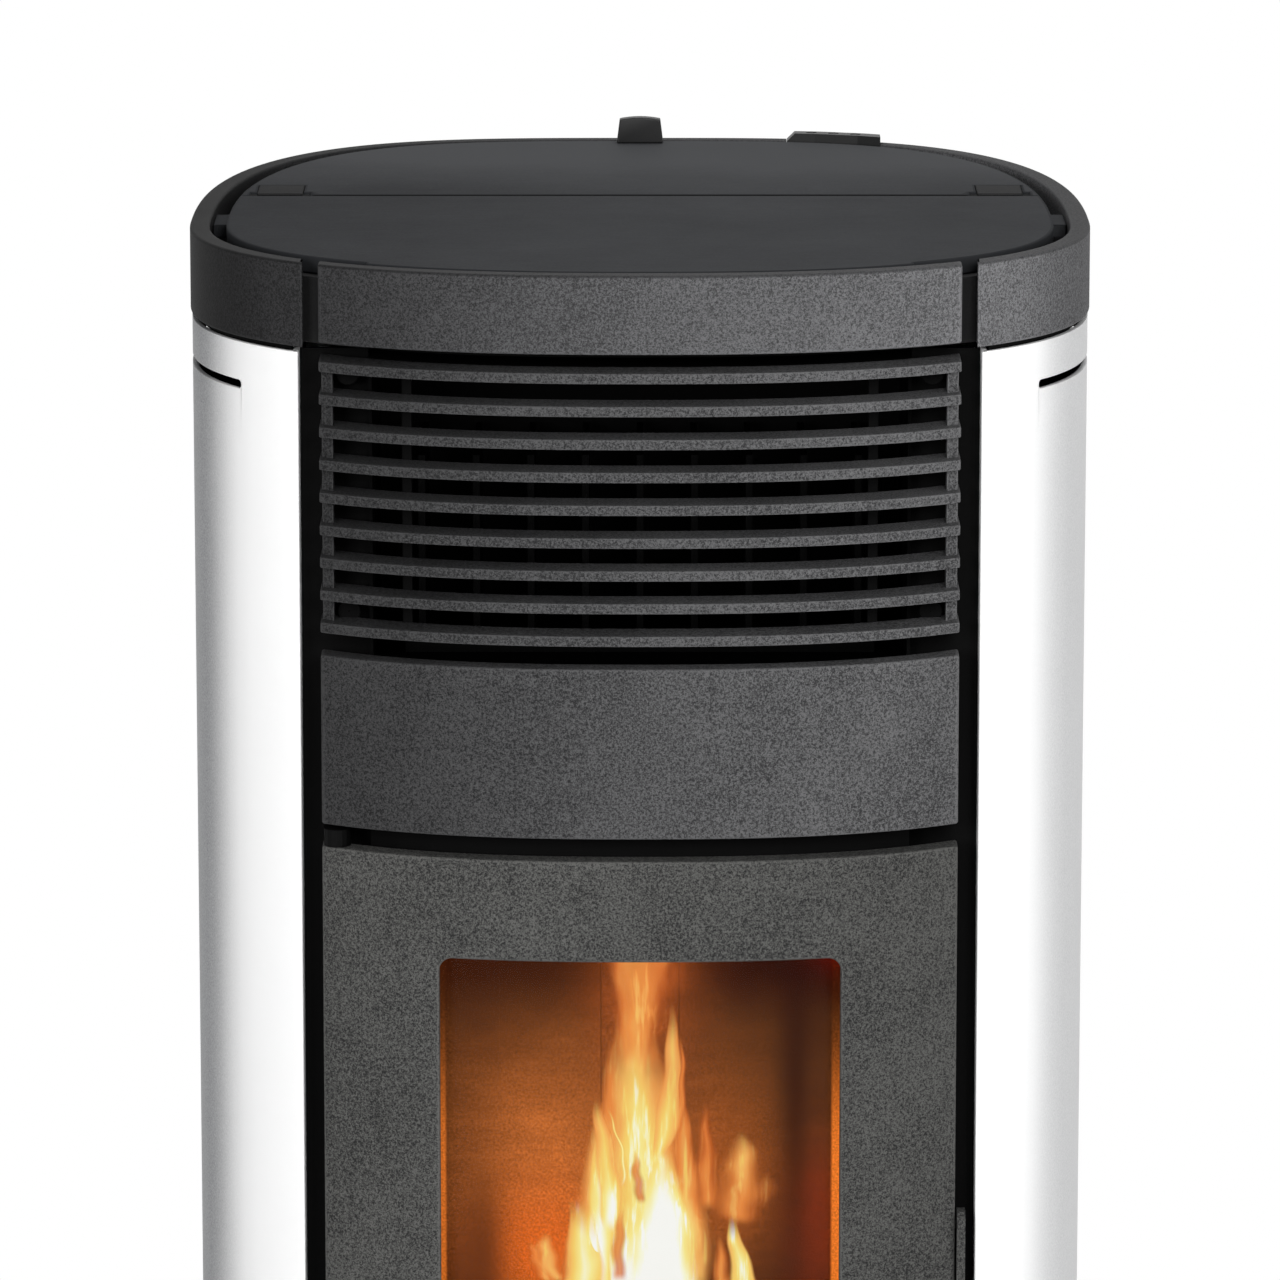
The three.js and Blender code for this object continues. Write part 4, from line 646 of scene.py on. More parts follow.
def ceramic_glass(name, tint):
    """Clear ceramic glass with a faint uneven smoke."""
    f = Finish(name)
    haze = f.noise(f.place(), 18.0, 3.0, 0.6)
    alpha = 0.05 + (haze - 0.5) * 0.03
    return f.shade(Base_Color=tint, Roughness=0.06 + (haze - 0.5) * 0.04, Alpha=alpha,
                   Specular_IOR_Level=0.5)


def sooted_steel(name):
    """Sooted steel in the firebox with painted firelight: its face glows by emission, and painted shade keeps
    its depth dark.
    """
    f = Finish(name)
    _, y, _ = f.parts()
    soot = f.noise(f.place(), 90.0, 3.0, 0.6)
    # painted firelight on the face, fading to painted shade further in
    lit = (1 - y.ramp(-0.036, 0.05)) * (0.7 + (soot - 0.5) * 0.8)
    colour = f.mix(srgb(7, 4, 3), srgb(30, 15, 8), soot)
    light = f.mix(srgb(6, 3, 2), srgb(120, 66, 28), lit.clamp())
    return f.shade(Base_Color=colour, Roughness=0.85 + (soot - 0.5) * 0.1, Specular_IOR_Level=0.05,
                   Emission_Color=light, Emission_Strength=1.0, Normal=f.bump(soot, 0.3, 0.0005))


def glowing_lining(name):
    """Sooted vermiculite with painted firelight as emission: orange behind and left of the flame, brown further
    out, dull red and dark above as the baffle's painted shadow, with a painted highlight on the edge at
    either end of the back wall."""
    f = Finish(name)
    x, y, z = f.parts()
    soot = f.noise(f.place(stretch=(1, 1, 2.4)), 16.0, 4.0, 0.62)
    board = f.noise(f.place(), 640.0, 3.0, 0.7)
    streak = f.noise(f.place(stretch=(1.2, 1.0, 6.0)), 22.0, 3.0, 0.6)

    def glow(x0, z0, wide, tall, along=x):
        """Light that falls off as a bell curve from its middle."""
        a, b = (along - x0) / wide, (z - z0) / tall
        return (-(a * a + b * b)).math("EXPONENT")

    def patch(light, colour, strength, *spot):
        return f.mix(light, srgb(*colour), (glow(*spot) * strength).clamp())

    ragged = 0.80 + (soot - 0.5) * 0.9 + (streak - 0.5) * 0.5
    # painted firelight in patches round the flame
    light = srgb(50, 20, 8)
    for colour, strength, *spot in (
            ((114, 66, 31), ragged, 0.0, 0.525, 0.15, 0.092),
            ((208, 114, 50), ragged, -0.054, 0.496, 0.054, 0.070),
            ((232, 106, 32), 0.9, -0.060, 0.440, 0.036, 0.040),
            ((172, 90, 36), ragged, 0.050, 0.490, 0.034, 0.060),
            ((136, 48, 20), ragged * 0.9, 0.110, 0.46, 0.020, 0.05),
            ((46, 18, 8), 0.75, 0.097, 0.56, 0.010, 0.14),
            ((62, 30, 12), 0.65, -0.098, 0.44, 0.014, 0.055)):
        light = patch(light, colour, strength, *spot)
    # painted shadow of the baffle above
    above = (z + (soot - 0.5) * 0.04).ramp(0.585, 0.632)
    light = f.mix(light, srgb(54, 19, 7), above * (0.76 + x.ramp(-0.06, 0.06) * 0.16))
    light = f.mix(light, srgb(40, 9, 5), above * x.ramp(0.02, 0.09) * 0.8)
    light = patch(light, (176, 88, 38), ragged, 0.002, 0.605, 0.030, 0.060)
    light = patch(light, (110, 16, 6), 0.9, 0.121, 0.646, 0.014, 0.02)
    # painted highlights on the edges at the ends of the back wall, and painted firelight beside them
    lower = 1 - z.ramp(0.50, 0.63)
    right = x.ramp(0.1190, 0.1208) * (0.015 + lower * lower * 0.9)
    left = (-x).ramp(0.1205, 0.1225) * (0.015 + lower * lower * 0.6)
    rear = y.ramp(-0.045, -0.037)
    light = f.mix(light, srgb(246, 128, 44), ((right + left) * rear).clamp())
    beside = abs(x).ramp(0.1235, 0.1250) * (1 - rear) * glow(-0.085, 0.475, 0.075, 0.110, y)
    light = f.mix(light, srgb(196, 98, 38), (beside * ragged * 0.9).clamp())
    grains = ((board - 0.5) * 2.6 + 0.5).clamp()
    speck = f.mix((0.6, 0.6, 0.6, 1), (1.4, 1.4, 1.4, 1), grains)
    light = f.mix(light, speck, 1.0, "MULTIPLY")
    colour = f.mix(srgb(5, 4, 3), srgb(16, 12, 10), (board * 0.6 + soot * 0.4).clamp())
    normal = f.bump(board, 0.4, 0.001)
    return f.shade(Base_Color=colour, Roughness=0.95 + (soot - 0.5) * 0.05, Normal=normal,
                   Specular_IOR_Level=0.0, Emission_Color=light, Emission_Strength=1.0)


def flame(name):
    """A tongue of fire. Its map gives how far across and along a point lies; burn is how hot it is there
    and edge_width how softly its sides fade. Long streaks break the light."""
    f = Finish(name)
    across, along, _ = f.parts(f.node("ShaderNodeUVMap", uv_map="tongue"))
    burn = f.node("ShaderNodeAttribute", output="Fac", attribute_name="burn")
    width = f.node("ShaderNodeAttribute", output="Fac", attribute_name="edge_width")
    middle = 1 - abs(across * 2.0 - 1.0)
    streak = f.noise(f.place(stretch=(1.0, 1.0, 0.1)), 210.0, 3.0, 0.6)
    curl = f.noise(f.place(stretch=(1.0, 1.0, 0.4)), 48.0, 2.0, 0.55)
    side = (middle / width + (curl - 0.5) * 1.1 + (streak - 0.5) * 0.4).ramp(0.05, 1.0)
    tip = (1 - (along + (curl - 0.5) * 0.3).ramp(0.70, 0.99)) * along.ramp(0.0, 0.14)
    lines = streak.ramp(0.52, 0.68)
    heat = (burn + (curl - 0.5) * 0.5 + lines * 0.18 + middle * 0.32 - 0.2).clamp()
    light = f.node("ShaderNodeValToRGB", {"Fac": heat}, stops=[
        (0.0, srgb(150, 58, 20)), (0.2, srgb(212, 104, 44)), (0.4, srgb(244, 146, 70)),
        (0.58, srgb(253, 186, 100)), (0.72, srgb(254, 216, 112)), (0.84, srgb(255, 240, 150)),
        (0.94, srgb(255, 254, 220)), (1.0, srgb(255, 255, 250))])
    alpha = side * tip * (0.82 + burn * 0.2)
    return f.shade(Base_Color=(0, 0, 0, 1), Roughness=1.0, Specular_IOR_Level=0.0,
                   Emission_Color=light, Emission_Strength=1.0, Alpha=alpha.clamp())


def embers(name):
    """Burning pellets: glowing orange in the gaps, ash-grey on the crowns."""
    f = Finish(name)
    at = f.place()
    ash = f.noise(at, 210.0, 3.0, 0.65)
    glow = f.noise(at, 70.0, 3.0, 0.6)
    heat = (1.25 - ash * 0.9 + (glow - 0.5) * 1.4).clamp()
    light = f.node("ShaderNodeValToRGB", {"Fac": heat}, stops=[
        (0.0, srgb(24, 6, 3)), (0.35, srgb(150, 34, 8)), (0.65, srgb(244, 104, 22)),
        (1.0, srgb(255, 206, 110))])
    colour = f.mix(srgb(30, 26, 24), srgb(120, 112, 104), ash)
    return f.shade(Base_Color=colour, Roughness=0.9 + (ash - 0.5) * 0.1, Emission_Color=light,
                   Emission_Strength=1.0, Normal=f.bump(ash, 0.5, 0.001))


_finishes = {}


def finish(kind):
    """Each finish of the stove, made the first time that a piece asks for it."""
    look = bpy.context.scene.stove_look
    iron = [tuple(colour) + (1,) for colour in (look.iron_dark, look.iron_light)]
    top = [tuple(colour) + (1,) for colour in (look.top_dark, look.top_light)]
    makers = {
        # The tone stops are painted shade: the lower castings darken a little at their ends, and the crown and
        # middle castings much more towards the left, as if lit from the right.
        "cast_iron": (sandy_iron, *iron, [(-0.2, 0.86), (-0.175, 1.0), (0.0, 0.96), (0.2, 0.84)]),
        "crown_iron": (sandy_iron, srgb(66, 66, 67), srgb(118, 118, 120), [
            (-0.275, 0.03), (-0.24, 0.10), (-0.215, 0.19), (-0.14, 0.30), (0.0, 0.64), (0.14, 0.8),
            (0.2, 1.0), (0.225, 0.98), (0.262, 0.74), (0.275, 0.7)], 0.4),
        "middle_iron": (sandy_iron, srgb(46, 46, 47), srgb(99, 99, 100), [
            (-0.2, 0.36), (-0.14, 0.44), (0.0, 0.81), (0.14, 1.0), (0.2, 1.0)]),
        # The crown's webs are painted darker than the crown: painted shade in their narrow recess.
        "web_iron": (black_paint, grey(20), grey(44)),
        "black_steel": (black_paint, grey(2), grey(9)),
        "back_paint": (black_paint, grey(14), grey(32)),
        "shadow": (black_paint, grey(2), grey(6), 0.9, 0.0),
        "top_plate": (satin_plate, *top),
        "hinge_block": (satin_plate, grey(38), grey(62)),
        # The first colour is the grey of the panels' painted shade.
        "white_panel": (white_enamel, srgb(60, 64, 72), srgb(250, 250, 250)),
        "raw_steel": (sheet_steel, grey(84), grey(148)),
        "steel": (sheet_steel, grey(120), grey(200), 0.3, 1.0),
        "sooted_steel": (sooted_steel,),
        "window": (ceramic_glass, srgb(40, 22, 12)),
        "rope_seal": (woven_rope, grey(22), grey(62)),
        "plastic": (moulded_plastic, grey(16), grey(34)),
        "lining": (glowing_lining,),
        "flame": (flame,),
        "embers": (embers,),
    }
    if kind not in _finishes:
        maker, *settings = makers[kind]
        _finishes[kind] = maker(kind, *settings)
    return _finishes[kind]


# ---- Settings ---------------------------------------------------------------------------------------

class StoveLook(bpy.types.PropertyGroup):
    """Colours and small sizes of the stove's finish."""
    iron_dark: bpy.props.FloatVectorProperty(
        name="Iron, dark", description="Darkest tone of the painted castings", subtype="COLOR",
        default=srgb(38, 38, 38)[:3])
    iron_light: bpy.props.FloatVectorProperty(
        name="Iron, light", description="Lightest tone of the painted castings", subtype="COLOR",
        default=srgb(91, 91, 89)[:3])
    top_dark: bpy.props.FloatVectorProperty(
        name="Top, dark", description="Darkest tone of the lid and top plate", subtype="COLOR",
        default=srgb(42, 43, 45)[:3])
    top_light: bpy.props.FloatVectorProperty(
        name="Top, light", description="Lightest tone of the lid and top plate", subtype="COLOR",
        default=srgb(74, 75, 77)[:3])
    cast_edge: bpy.props.FloatProperty(
        name="Casting edge", description="Radius on the edges of the castings", subtype="DISTANCE",
        default=0.0015, min=0.0005, max=0.003)
    plate_edge: bpy.props.FloatProperty(
        name="Plate edge", description="Radius on the edges of the lid and top plate", subtype="DISTANCE",
        default=0.0010, min=0.0003, max=0.003)


class StoveStudio(bpy.types.PropertyGroup):
    """Lamps, camera and background."""
    right_lamp: bpy.props.FloatProperty(
        name="Right lamp", description="Power of the large softbox on the right", default=27.0, min=0.0)
    left_lamp: bpy.props.FloatProperty(
        name="Left lamp", description="Power of the softbox ahead on the left", default=64.0, min=0.0)
    front_lamp: bpy.props.FloatProperty(
        name="Front lamp", description="Power of the softbox above the camera", default=108.0, min=0.0)
    top_lamp: bpy.props.FloatProperty(
        name="Top lamp", description="Power of the softbox overhead", default=24.0, min=0.0)
    surround: bpy.props.FloatProperty(
        name="Surround", description="Level of the studio's own light", default=0.2, min=0.0, max=1.0)
    camera_tilt: bpy.props.FloatProperty(
        name="Camera tilt", description="How far the camera looks down", subtype="ANGLE",
        default=math.radians(11.744))


# ---- Operators --------------------------------------------------------------------------------------

def plate_arc(count=640):
    """The top plate's outline, counter-clockwise: a superellipse of its own, as the plate keeps a wide
    channel at the sides and a narrow one at the front and rear."""
    u, v, _, _ = superellipse(np.linspace(0, 2 * math.pi, count, endpoint=False) - math.pi / 2)
    return PLATE_HALF * u, WIDEST_Y + np.where(v < 0, PLATE_FRONT, PLATE_REAR) * v


def plate_half(depth):
    """Half width of the top plate behind the widest line."""
    share = (depth - WIDEST_Y) / PLATE_REAR
    return PLATE_HALF * (1 - share ** REAR_DEPTH_POWER) ** (1 / REAR_WIDTH_POWER)


class STOVE_OT_castings(bpy.types.Operator):
    """Crown, its fascia, the middle and lower castings and the ash drawer's front"""
    bl_idname = "stove.castings"
    bl_label = "Crown and fascias"

    def execute(self, context):
        edge = context.scene.stove_look.cast_edge / MM
        lip_z = MIDDLE[1] - LIP_HEIGHT
        lip = [(0, MIDDLE[0]), (CAST_WALL, MIDDLE[0]), (CAST_WALL, lip_z), (LIP_DEPTH, lip_z),
               (LIP_DEPTH, MIDDLE[1]), (0, MIDDLE[1])]
        for piece, node, body, kind, section, backs in (
                ("crown_fascia_casting", "crown_fascia", "stove", "crown_iron",
                 rectangle(0, CAST_WALL, *FASCIA), []),
                ("middle_fascia_casting", "middle_fascia", "stove", "middle_iron", lip,
                 frame_lugs(CAST_WALL, sum(MIDDLE) / 2)),
                ("lower_fascia_casting", "lower_fascia", "stove", "cast_iron",
                 rectangle(0, CAST_WALL, *LOWER), frame_lugs(CAST_WALL, sum(LOWER) / 2)),
                ("ash_drawer_casting", "ash_drawer_front", "ash_drawer", "cast_iron",
                 rectangle(0, CAST_WALL, *DRAWER),
                 lugs(STEM_X, STEM_RADIUS, STEM_BACK, CAST_WALL, STEM_Z, 32))):
            make_piece(piece, [front_bar(CAST_HALF, section, edge)] + backs, finish(kind), body,
                       [node])
        self.crown(edge)
        return {"FINISHED"}

    def crown(self, edge):
        """The crown's section (inset, z) is carried round the sides and rear. Near its two front ends it
        shrinks by a quarter circle. In the notch for the control panel its top is lowered."""
        gap, shrink = end_rows(edge)
        notch = HEIGHT + CONTROL_RISE - CONTROL_HEIGHT - SEAT
        near, far = CONTROL
        first = float(angle_at(CROWN_END_X, 0))
        span = math.pi - 2 * first
        before, after = ((float(angle_at(x, 0, True)) - first) / span for x in (far, near))
        share = np.linspace(0, 1, 181)[1:-1]
        # Each row: share of the way round, distance from the end, shrink, top, and the x at which a row of
        # the notch is held.
        rows = [(0.0, g, s, HEIGHT, np.nan) for g, s in zip(gap, shrink)]
        rows += [(t, gap[-1], 0.0, HEIGHT, np.nan) for t in share[share < before - 0.002]]
        rows += [(0.0, 0.0, 0.0, HEIGHT, far)]
        rows += [(0.0, 0.0, 0.0, notch, x) for x in np.linspace(far, near, 12)]
        rows += [(0.0, 0.0, 0.0, HEIGHT, near)]
        rows += [(t, gap[-1], 0.0, HEIGHT, np.nan) for t in share[share > after + 0.002]]
        rows += [(1.0, g, s, HEIGHT, np.nan) for g, s in zip(gap[::-1], shrink[::-1])]
        t, lead, shrinks, top, fixed = np.array(rows).T
        section, rim = rounded(rectangle(0, CAST_WALL, CROWN_BOTTOM, HEIGHT), edge, shrinks)
        inset, z = section[..., 0], section[..., 1]
        z = np.where(z > (HEIGHT + CROWN_BOTTOM) / 2, z - (HEIGHT - top)[:, None], z)
        end = angle_at(CROWN_END_X - lead[:, None], inset)
        angle = end + t[:, None] * (math.pi - 2 * end)
        held = ~np.isnan(fixed)
        angle[held] = angle_at(np.broadcast_to(fixed[held][:, None], inset[held].shape), inset[held], True)
        x, y = outline(angle, inset)
        edge_rows = np.zeros(len(rows))
        edge_rows[:len(gap) - 1] = edge_rows[1 - len(gap):] = 1
        ring = tube(np.stack([x, y, z], -1), np.maximum(rim[None], edge_rows[:, None]))
        webs = [carried(rectangle(*WEB_DEPTH, CROWN_BOTTOM + 1, HEIGHT - 10), a, b, 0.8, on_front, 12)
                for a, b in both_sides(*WEB_SPAN)]
        make_piece("crown_casting", [ring], finish("crown_iron"), "stove", ["crown"])
        make_piece("crown_webs", webs, finish("web_iron"), "stove")


def lugs(x, radius, back, inset, z, steps):
    """A round lug on either side, from inside a casting back to the given depth."""
    front = float(front_y(x, inset)) - LUG_SUNK
    return [turned_round(rectangle(0.0, radius, front, back), SMALL_EDGE, (side * x, 0, z), "y", steps)
            for side in (-1, 1)]


def frame_lugs(inset, z):
    """The lugs by which a casting is fixed to the frame."""
    return lugs(LUG_X, LUG_RADIUS, LUG_BACK, inset, z, 24)


class STOVE_OT_grille(bpy.types.Operator):
    """Warm-air grille: nine curved slats, end posts and back ribs"""
    bl_idname = "stove.grille"
    bl_label = "Warm-air grille"

    def execute(self, context):
        low, high = SLAT_TOPS[-1] - SLAT_THICKNESS, SLAT_TOPS[0]
        parts = [front_bar(CAST_HALF, rectangle(0, SLAT_DEPTH, top - SLAT_THICKNESS, top), SLAT_EDGE)
                 for top in SLAT_TOPS]
        parts += [carried(rectangle(*POST_DEPTH, low + 1, high - 1), a, b, SMALL_EDGE, on_front, 3)
                  for a, b in both_sides(*POST_X)]
        ribs = [carried(rectangle(*RIB_DEPTH, low, high), a, b, SMALL_EDGE, on_front, 3)
                for a, b in both_sides(*RIB_X)]
        ribs += frame_lugs(SLAT_DEPTH, low + SLAT_PITCH / 2) + frame_lugs(SLAT_DEPTH, high - SLAT_PITCH / 2)
        make_piece("warm_air_slats", parts, finish("middle_iron"), "stove", ["warm_air_grille"])
        # The ribs are near black: painted shade behind the slats.
        make_piece("warm_air_ribs", ribs, finish("black_steel"), "stove")
        return {"FINISHED"}


class STOVE_OT_top(bpy.types.Operator):
    """Fixed top plate, hinged lid, its hinge blocks and its pull"""
    bl_idname = "stove.top"
    bl_label = "Top plate and lid"

    def execute(self, context):
        edge = context.scene.stove_look.plate_edge / MM
        satin = finish("top_plate")
        make_piece("front_top_plate", [self.front(edge)] + self.supports(), satin, "stove",
                   ["top_plate"])
        make_piece("lid_plate", [self.lid(edge)], satin, "hopper_lid", ["hopper_lid"], sharp=35)

        leaf = rectangle(LID_LINE_Y + NOSE + HINGE_GAP, LID_LINE_Y + HINGE_LENGTH, HEIGHT - 2 * NOSE, HEIGHT)
        middle = HEIGHT - NOSE - KNUCKLE_DROP
        knuckle = [(LID_LINE_Y + NOSE * math.cos(turn), middle + NOSE * math.sin(turn))
                   for turn in np.linspace(0, 2 * math.pi, 16, endpoint=False)]
        for name, (a, b) in zip(("left", "right"), both_sides(*HINGE_X)):
            make_piece("lid_hinge_" + name, [carried(leaf, a, b, 0.5, along_x, 1, 3, turn=0.4)],
                       finish("hinge_block"), "hopper_lid", ["lid_hinge_block_" + name])
            make_piece("lid_knuckle_" + name, [carried(knuckle, a, b, 0.5, along_x, 1, 3, turn=0.3)],
                       finish("shadow"), "hopper_lid")

        arch = [(PULL_TOP * (1 - 2 * t), PULL_SHOULDER_Z + PULL_ARCH * t * (1 - t))
                for t in np.linspace(0, 1, 9)]
        pull = [(-PULL_FOOT, HEIGHT + SEAT), (PULL_FOOT, HEIGHT + SEAT)] + arch
        make_piece("lid_pull", [carried(pull, *PULL_Y, 1.0, along_y, 1, 4, turn=0.8)],
                   finish("plastic"), "hopper_lid", ["lid_knob"])
        return {"FINISHED"}

    def front(self, edge):
        """The plate ahead of the dividing line. Where the crown's ends turn in, it steps back to leave
        room for them."""
        x, y = plate_arc()
        keep = y < PLATE_EDGE_Y - 3
        order = np.argsort(np.arctan2(y[keep] - PLATE_EDGE_Y, x[keep]))
        x, y = x[keep][order], y[keep][order]
        across, widest = np.abs(x), HALF_WIDTH - 30
        back = front_y(np.minimum(across, widest), WEB_INSET)
        y = np.where((across > WEB_X) & (across < widest), np.maximum(y, back), y)
        clear = np.abs(across - WEB_X) >= 2
        x, y = x[clear], y[clear]
        step = float(front_y(WEB_X, WEB_INSET))
        lip = WIDEST_Y - PLATE_FRONT * (1 - (WEB_X / PLATE_HALF) ** FRONT_POWER) ** (1 / FRONT_POWER)
        left, middle, right = x < -WEB_X, np.abs(x) < WEB_X, x > WEB_X
        run = np.stack([x, y], 1)
        half = plate_half(PLATE_EDGE_Y)
        loop = np.concatenate([
            [(-half, PLATE_EDGE_Y)], run[left], [(-WEB_X, step), (-WEB_X, lip)], run[middle],
            [(WEB_X, lip), (WEB_X, step)], run[right], [(half, PLATE_EDGE_Y)]])
        return flat_loop(loop, PLATE_BOTTOM, HEIGHT, edge)

    def supports(self):
        """Legs under the plate and the spacers that bridge the channel at the sides."""
        parts = []
        for side, (a, b) in zip((-1, 1), both_sides(*SPACER_X)):
            for x, y in LEG_PLACES:
                parts.append(turned_round(rectangle(0.0, LEG_RADIUS, CROWN_BOTTOM, PLATE_BOTTOM + 0.5), 0.5,
                                          (side * x, y, 0), "z", 24))
            parts.append(carried(rectangle(*SPACER_Y, *SPACER_Z), a, b, SMALL_EDGE, along_x))
        return parts

    def lid(self, edge):
        """The plate behind the dividing line, with a lug notch and a block recess for each hinge. Its front
        edge is rolled round the hinge line."""
        x, y = plate_arc()
        keep = y > LID_LINE_Y + 3
        arc = np.stack([x[keep], y[keep]], 1)[np.argsort(np.arctan2(y[keep] - LID_LINE_Y, x[keep]))]
        line = LID_LINE_Y - NOSE
        half = plate_half(line)
        near, far = HINGE_X[0] - SEAT, HINGE_X[1] + SEAT
        lug, deep = LID_LINE_Y + BAY_DEPTH, LID_LINE_Y + HINGE_LENGTH + SEAT
        bay = [(far + BAY_WIDTH, line), (far + BAY_WIDTH, lug), (far, lug), (far, deep), (near, deep),
               (near, lug), (near - BAY_WIDTH, lug), (near - BAY_WIDTH, line)]
        front = [(-half, line)] + [(-x0, y0) for x0, y0 in bay] + bay[::-1] + [(half, line)]
        loop = np.concatenate([arc, front])
        radius = np.where(loop[:, 1] < LID_LINE_Y, NOSE - 0.4, edge)
        radius[np.abs(loop[:, 0]) > far + 1] = edge
        return flat_loop(loop, PLATE_BOTTOM, HEIGHT, radius, 5)


class STOVE_OT_panels(bpy.types.Operator):
    """The two bent side panels with their long slots"""
    bl_idname = "stove.panels"
    bl_label = "Side panels"

    def execute(self, context):
        for name, side in (("left", -1), ("right", 1)):
            piece = make_piece("enamel_panel_" + name, self.sheet(side), finish("white_panel"), "stove",
                               ["side_panel_" + name], sharp=50, closed=False)
            solid = piece.modifiers.new("wall", "SOLIDIFY")
            solid.thickness = PANEL_WALL * MM
            solid.offset = -1.0
            solid.use_even_offset = True
            bevel = piece.modifiers.new("edge", "BEVEL")
            bevel.width = PANEL_EDGE * MM
            bevel.segments = 2
            bevel.limit_method = "ANGLE"
            bevel.angle_limit = math.radians(50)
        return {"FINISHED"}

    def sheet(self, side):
        """The path in plan is the front flange, a small bend and the stove's outline to the rear. It is
        carried upwards; a slot with round ends is left open where the rows part."""
        start = float(angle_at(PANEL_FRONT_X, PANEL_INSET))
        end = float(angle_at(PANEL_REAR_X, PANEL_INSET, True))
        run = np.stack(outline(np.linspace(start, end, 1500), PANEL_INSET), 1)
        corner = run[0]
        far = np.hypot(*(run - corner).T) > PANEL_BEND
        t = np.linspace(0, 1, 9)[:, None]
        entry, leave = corner + [0, PANEL_BEND], run[far][0]
        bend = (1 - t) ** 2 * entry + 2 * t * (1 - t) * corner + t ** 2 * leave
        inward = np.linspace(corner[1] + PANEL_FLANGE, entry[1] + 2, 8)
        flange = np.stack([np.full(8, corner[0]), inward], 1)
        path = np.concatenate([flange, bend, run[far][1:]])
        length = np.concatenate([[0], np.cumsum(np.hypot(*np.diff(path, axis=0).T))])
        bent = len(flange) + len(bend)
        widening = slice(len(flange), bent + 700)
        s0 = float(np.interp(SLOT_X, path[widening, 0], length[widening]))
        back = path[:, 1] > 0
        s1 = float(np.interp(-SLOT_X, -path[back, 0], length[back]))
        radius = SLOT_HEIGHT / 2
        lead = radius * (1 - np.cos(np.linspace(0, math.pi / 2, 7)))
        stations = np.unique(np.round(np.concatenate([
            length[:bent], np.linspace(length[bent - 1], s0, 60)[1:], s0 + lead,
            np.linspace(s0 + radius, s1 - radius, 110), s1 - lead, np.linspace(s1, length[-1], 30)]), 4))
        px, py = np.interp(stations, length, path[:, 0]), np.interp(stations, length, path[:, 1])
        inside = np.clip(np.minimum(stations - s0, s1 - stations), 0, radius)
        half = np.sqrt(np.maximum(radius ** 2 - (radius - inside) ** 2, 0))
        middle = SLOT_TOP - radius
        below = np.array([0, 0.25, 0.5, 0.75, 0.97, 1.0])[:, None]
        above = np.array([0, 0.12, 0.5, 1.0])[:, None]
        lower = PANEL_BOTTOM + below * (middle - half - PANEL_BOTTOM)
        upper = middle + half + above * (PANEL_TOP - middle - half)
        parts = []
        for z in (lower, upper):
            points = np.stack(np.broadcast_arrays(side * px, py, z), -1)
            faces = grid_faces(*points.shape[:2])
            if side < 0:
                faces = [face[::-1] for face in faces]
            parts.append((points.reshape(-1, 3), faces, np.zeros(points[..., 0].size)))
        return parts


class STOVE_OT_door(bpy.types.Operator):
    """Door casting round the window"""
    bl_idname = "stove.door"
    bl_label = "Door"

    def execute(self, context):
        edge = context.scene.stove_look.cast_edge / MM
        boss = turned_round(rectangle(0, BOSS_RADIUS, *BOSS_X), 0.5, HANDLE_AXIS, "x", 32)
        make_piece("door_frame", [self.frame(edge), boss], finish("cast_iron"), "door",
                   ["door_casting"])
        return {"FINISHED"}

    def loop(self, half, low, high, radius, side=44, corner=10):
        """A rounded rectangle as an even number of points on each side and corner."""
        t = np.linspace(0, 1, side, endpoint=False)[:, None]
        turn = np.linspace(0, math.pi / 2, corner, endpoint=False)
        pieces = []
        spots = [(half - radius, low + radius, -90), (half - radius, high - radius, 0),
                 (radius - half, high - radius, 90), (radius - half, low + radius, 180)]
        for i, (cx, cz, begin) in enumerate(spots):
            a = turn + math.radians(begin)
            pieces.append(np.stack([cx + radius * np.cos(a), cz + radius * np.sin(a)], 1))
            nx, nz, _ = spots[(i + 1) % 4]
            out = math.radians(begin + 90)
            p = np.array([cx + radius * math.cos(out), cz + radius * math.sin(out)])
            q = np.array([nx + radius * math.cos(out), nz + radius * math.sin(out)])
            pieces.append(p + t * (q - p))
        return np.concatenate(pieces)

    def frame(self, edge):
        """Loops run round the window and the door. The columns go from the window's rear edge over its
        rounded lip, across the face between the two loops, round the outer edge and over the back."""
        ease = 1 + EASE

        def window(grow):
            return self.loop(WINDOW_HALF + grow, WINDOW[0] - grow, WINDOW[1] + grow, WINDOW_RADIUS + grow)

        def border(shrink):
            return self.loop(CAST_HALF - shrink, DOOR[0] + shrink, DOOR[1] - shrink,
                             max(DOOR_CORNER - shrink, 0.05))

        # Each row: a loop, how deep it lies behind the front, and its rim value.
        rows = [(window(0), DOOR_WALL, 0), (window(0), WINDOW_LIP * ease, 0)]
        for turn in np.linspace(0, math.pi / 2, 6):
            rows.append((window(WINDOW_LIP * (1 - math.cos(turn))), WINDOW_LIP * (1 - math.sin(turn)),
                         math.sin(2 * turn)))
        near, far = window(WINDOW_LIP * ease), border(edge * ease)
        for share in np.linspace(0, 1, 15):
            rows.append((near + share * (far - near), 0.0, 0))
        for turn in np.linspace(math.pi / 2, 0, 5):
            rows.append((border(edge * (1 - math.cos(turn))), edge * (1 - math.sin(turn)),
                         math.sin(2 * turn)))
        rows += [(border(0), edge * ease, 0), (border(0), DOOR_WALL - SMALL_EDGE, 0),
                 (border(SMALL_EDGE), DOOR_WALL, 0)]
        loops = np.stack([row[0] for row in rows])
        depth = np.array([row[1] for row in rows])[:, None] * np.ones(loops.shape[1])
        rim = np.array([row[2] for row in rows])[:, None] * np.ones(loops.shape[1])
        x, z = loops[..., 0], loops[..., 1]
        points = np.stack([x, front_y(x, depth), z], -1)
        return points.reshape(-1, 3), grid_faces(*points.shape[:2], True, True), rim.reshape(-1)


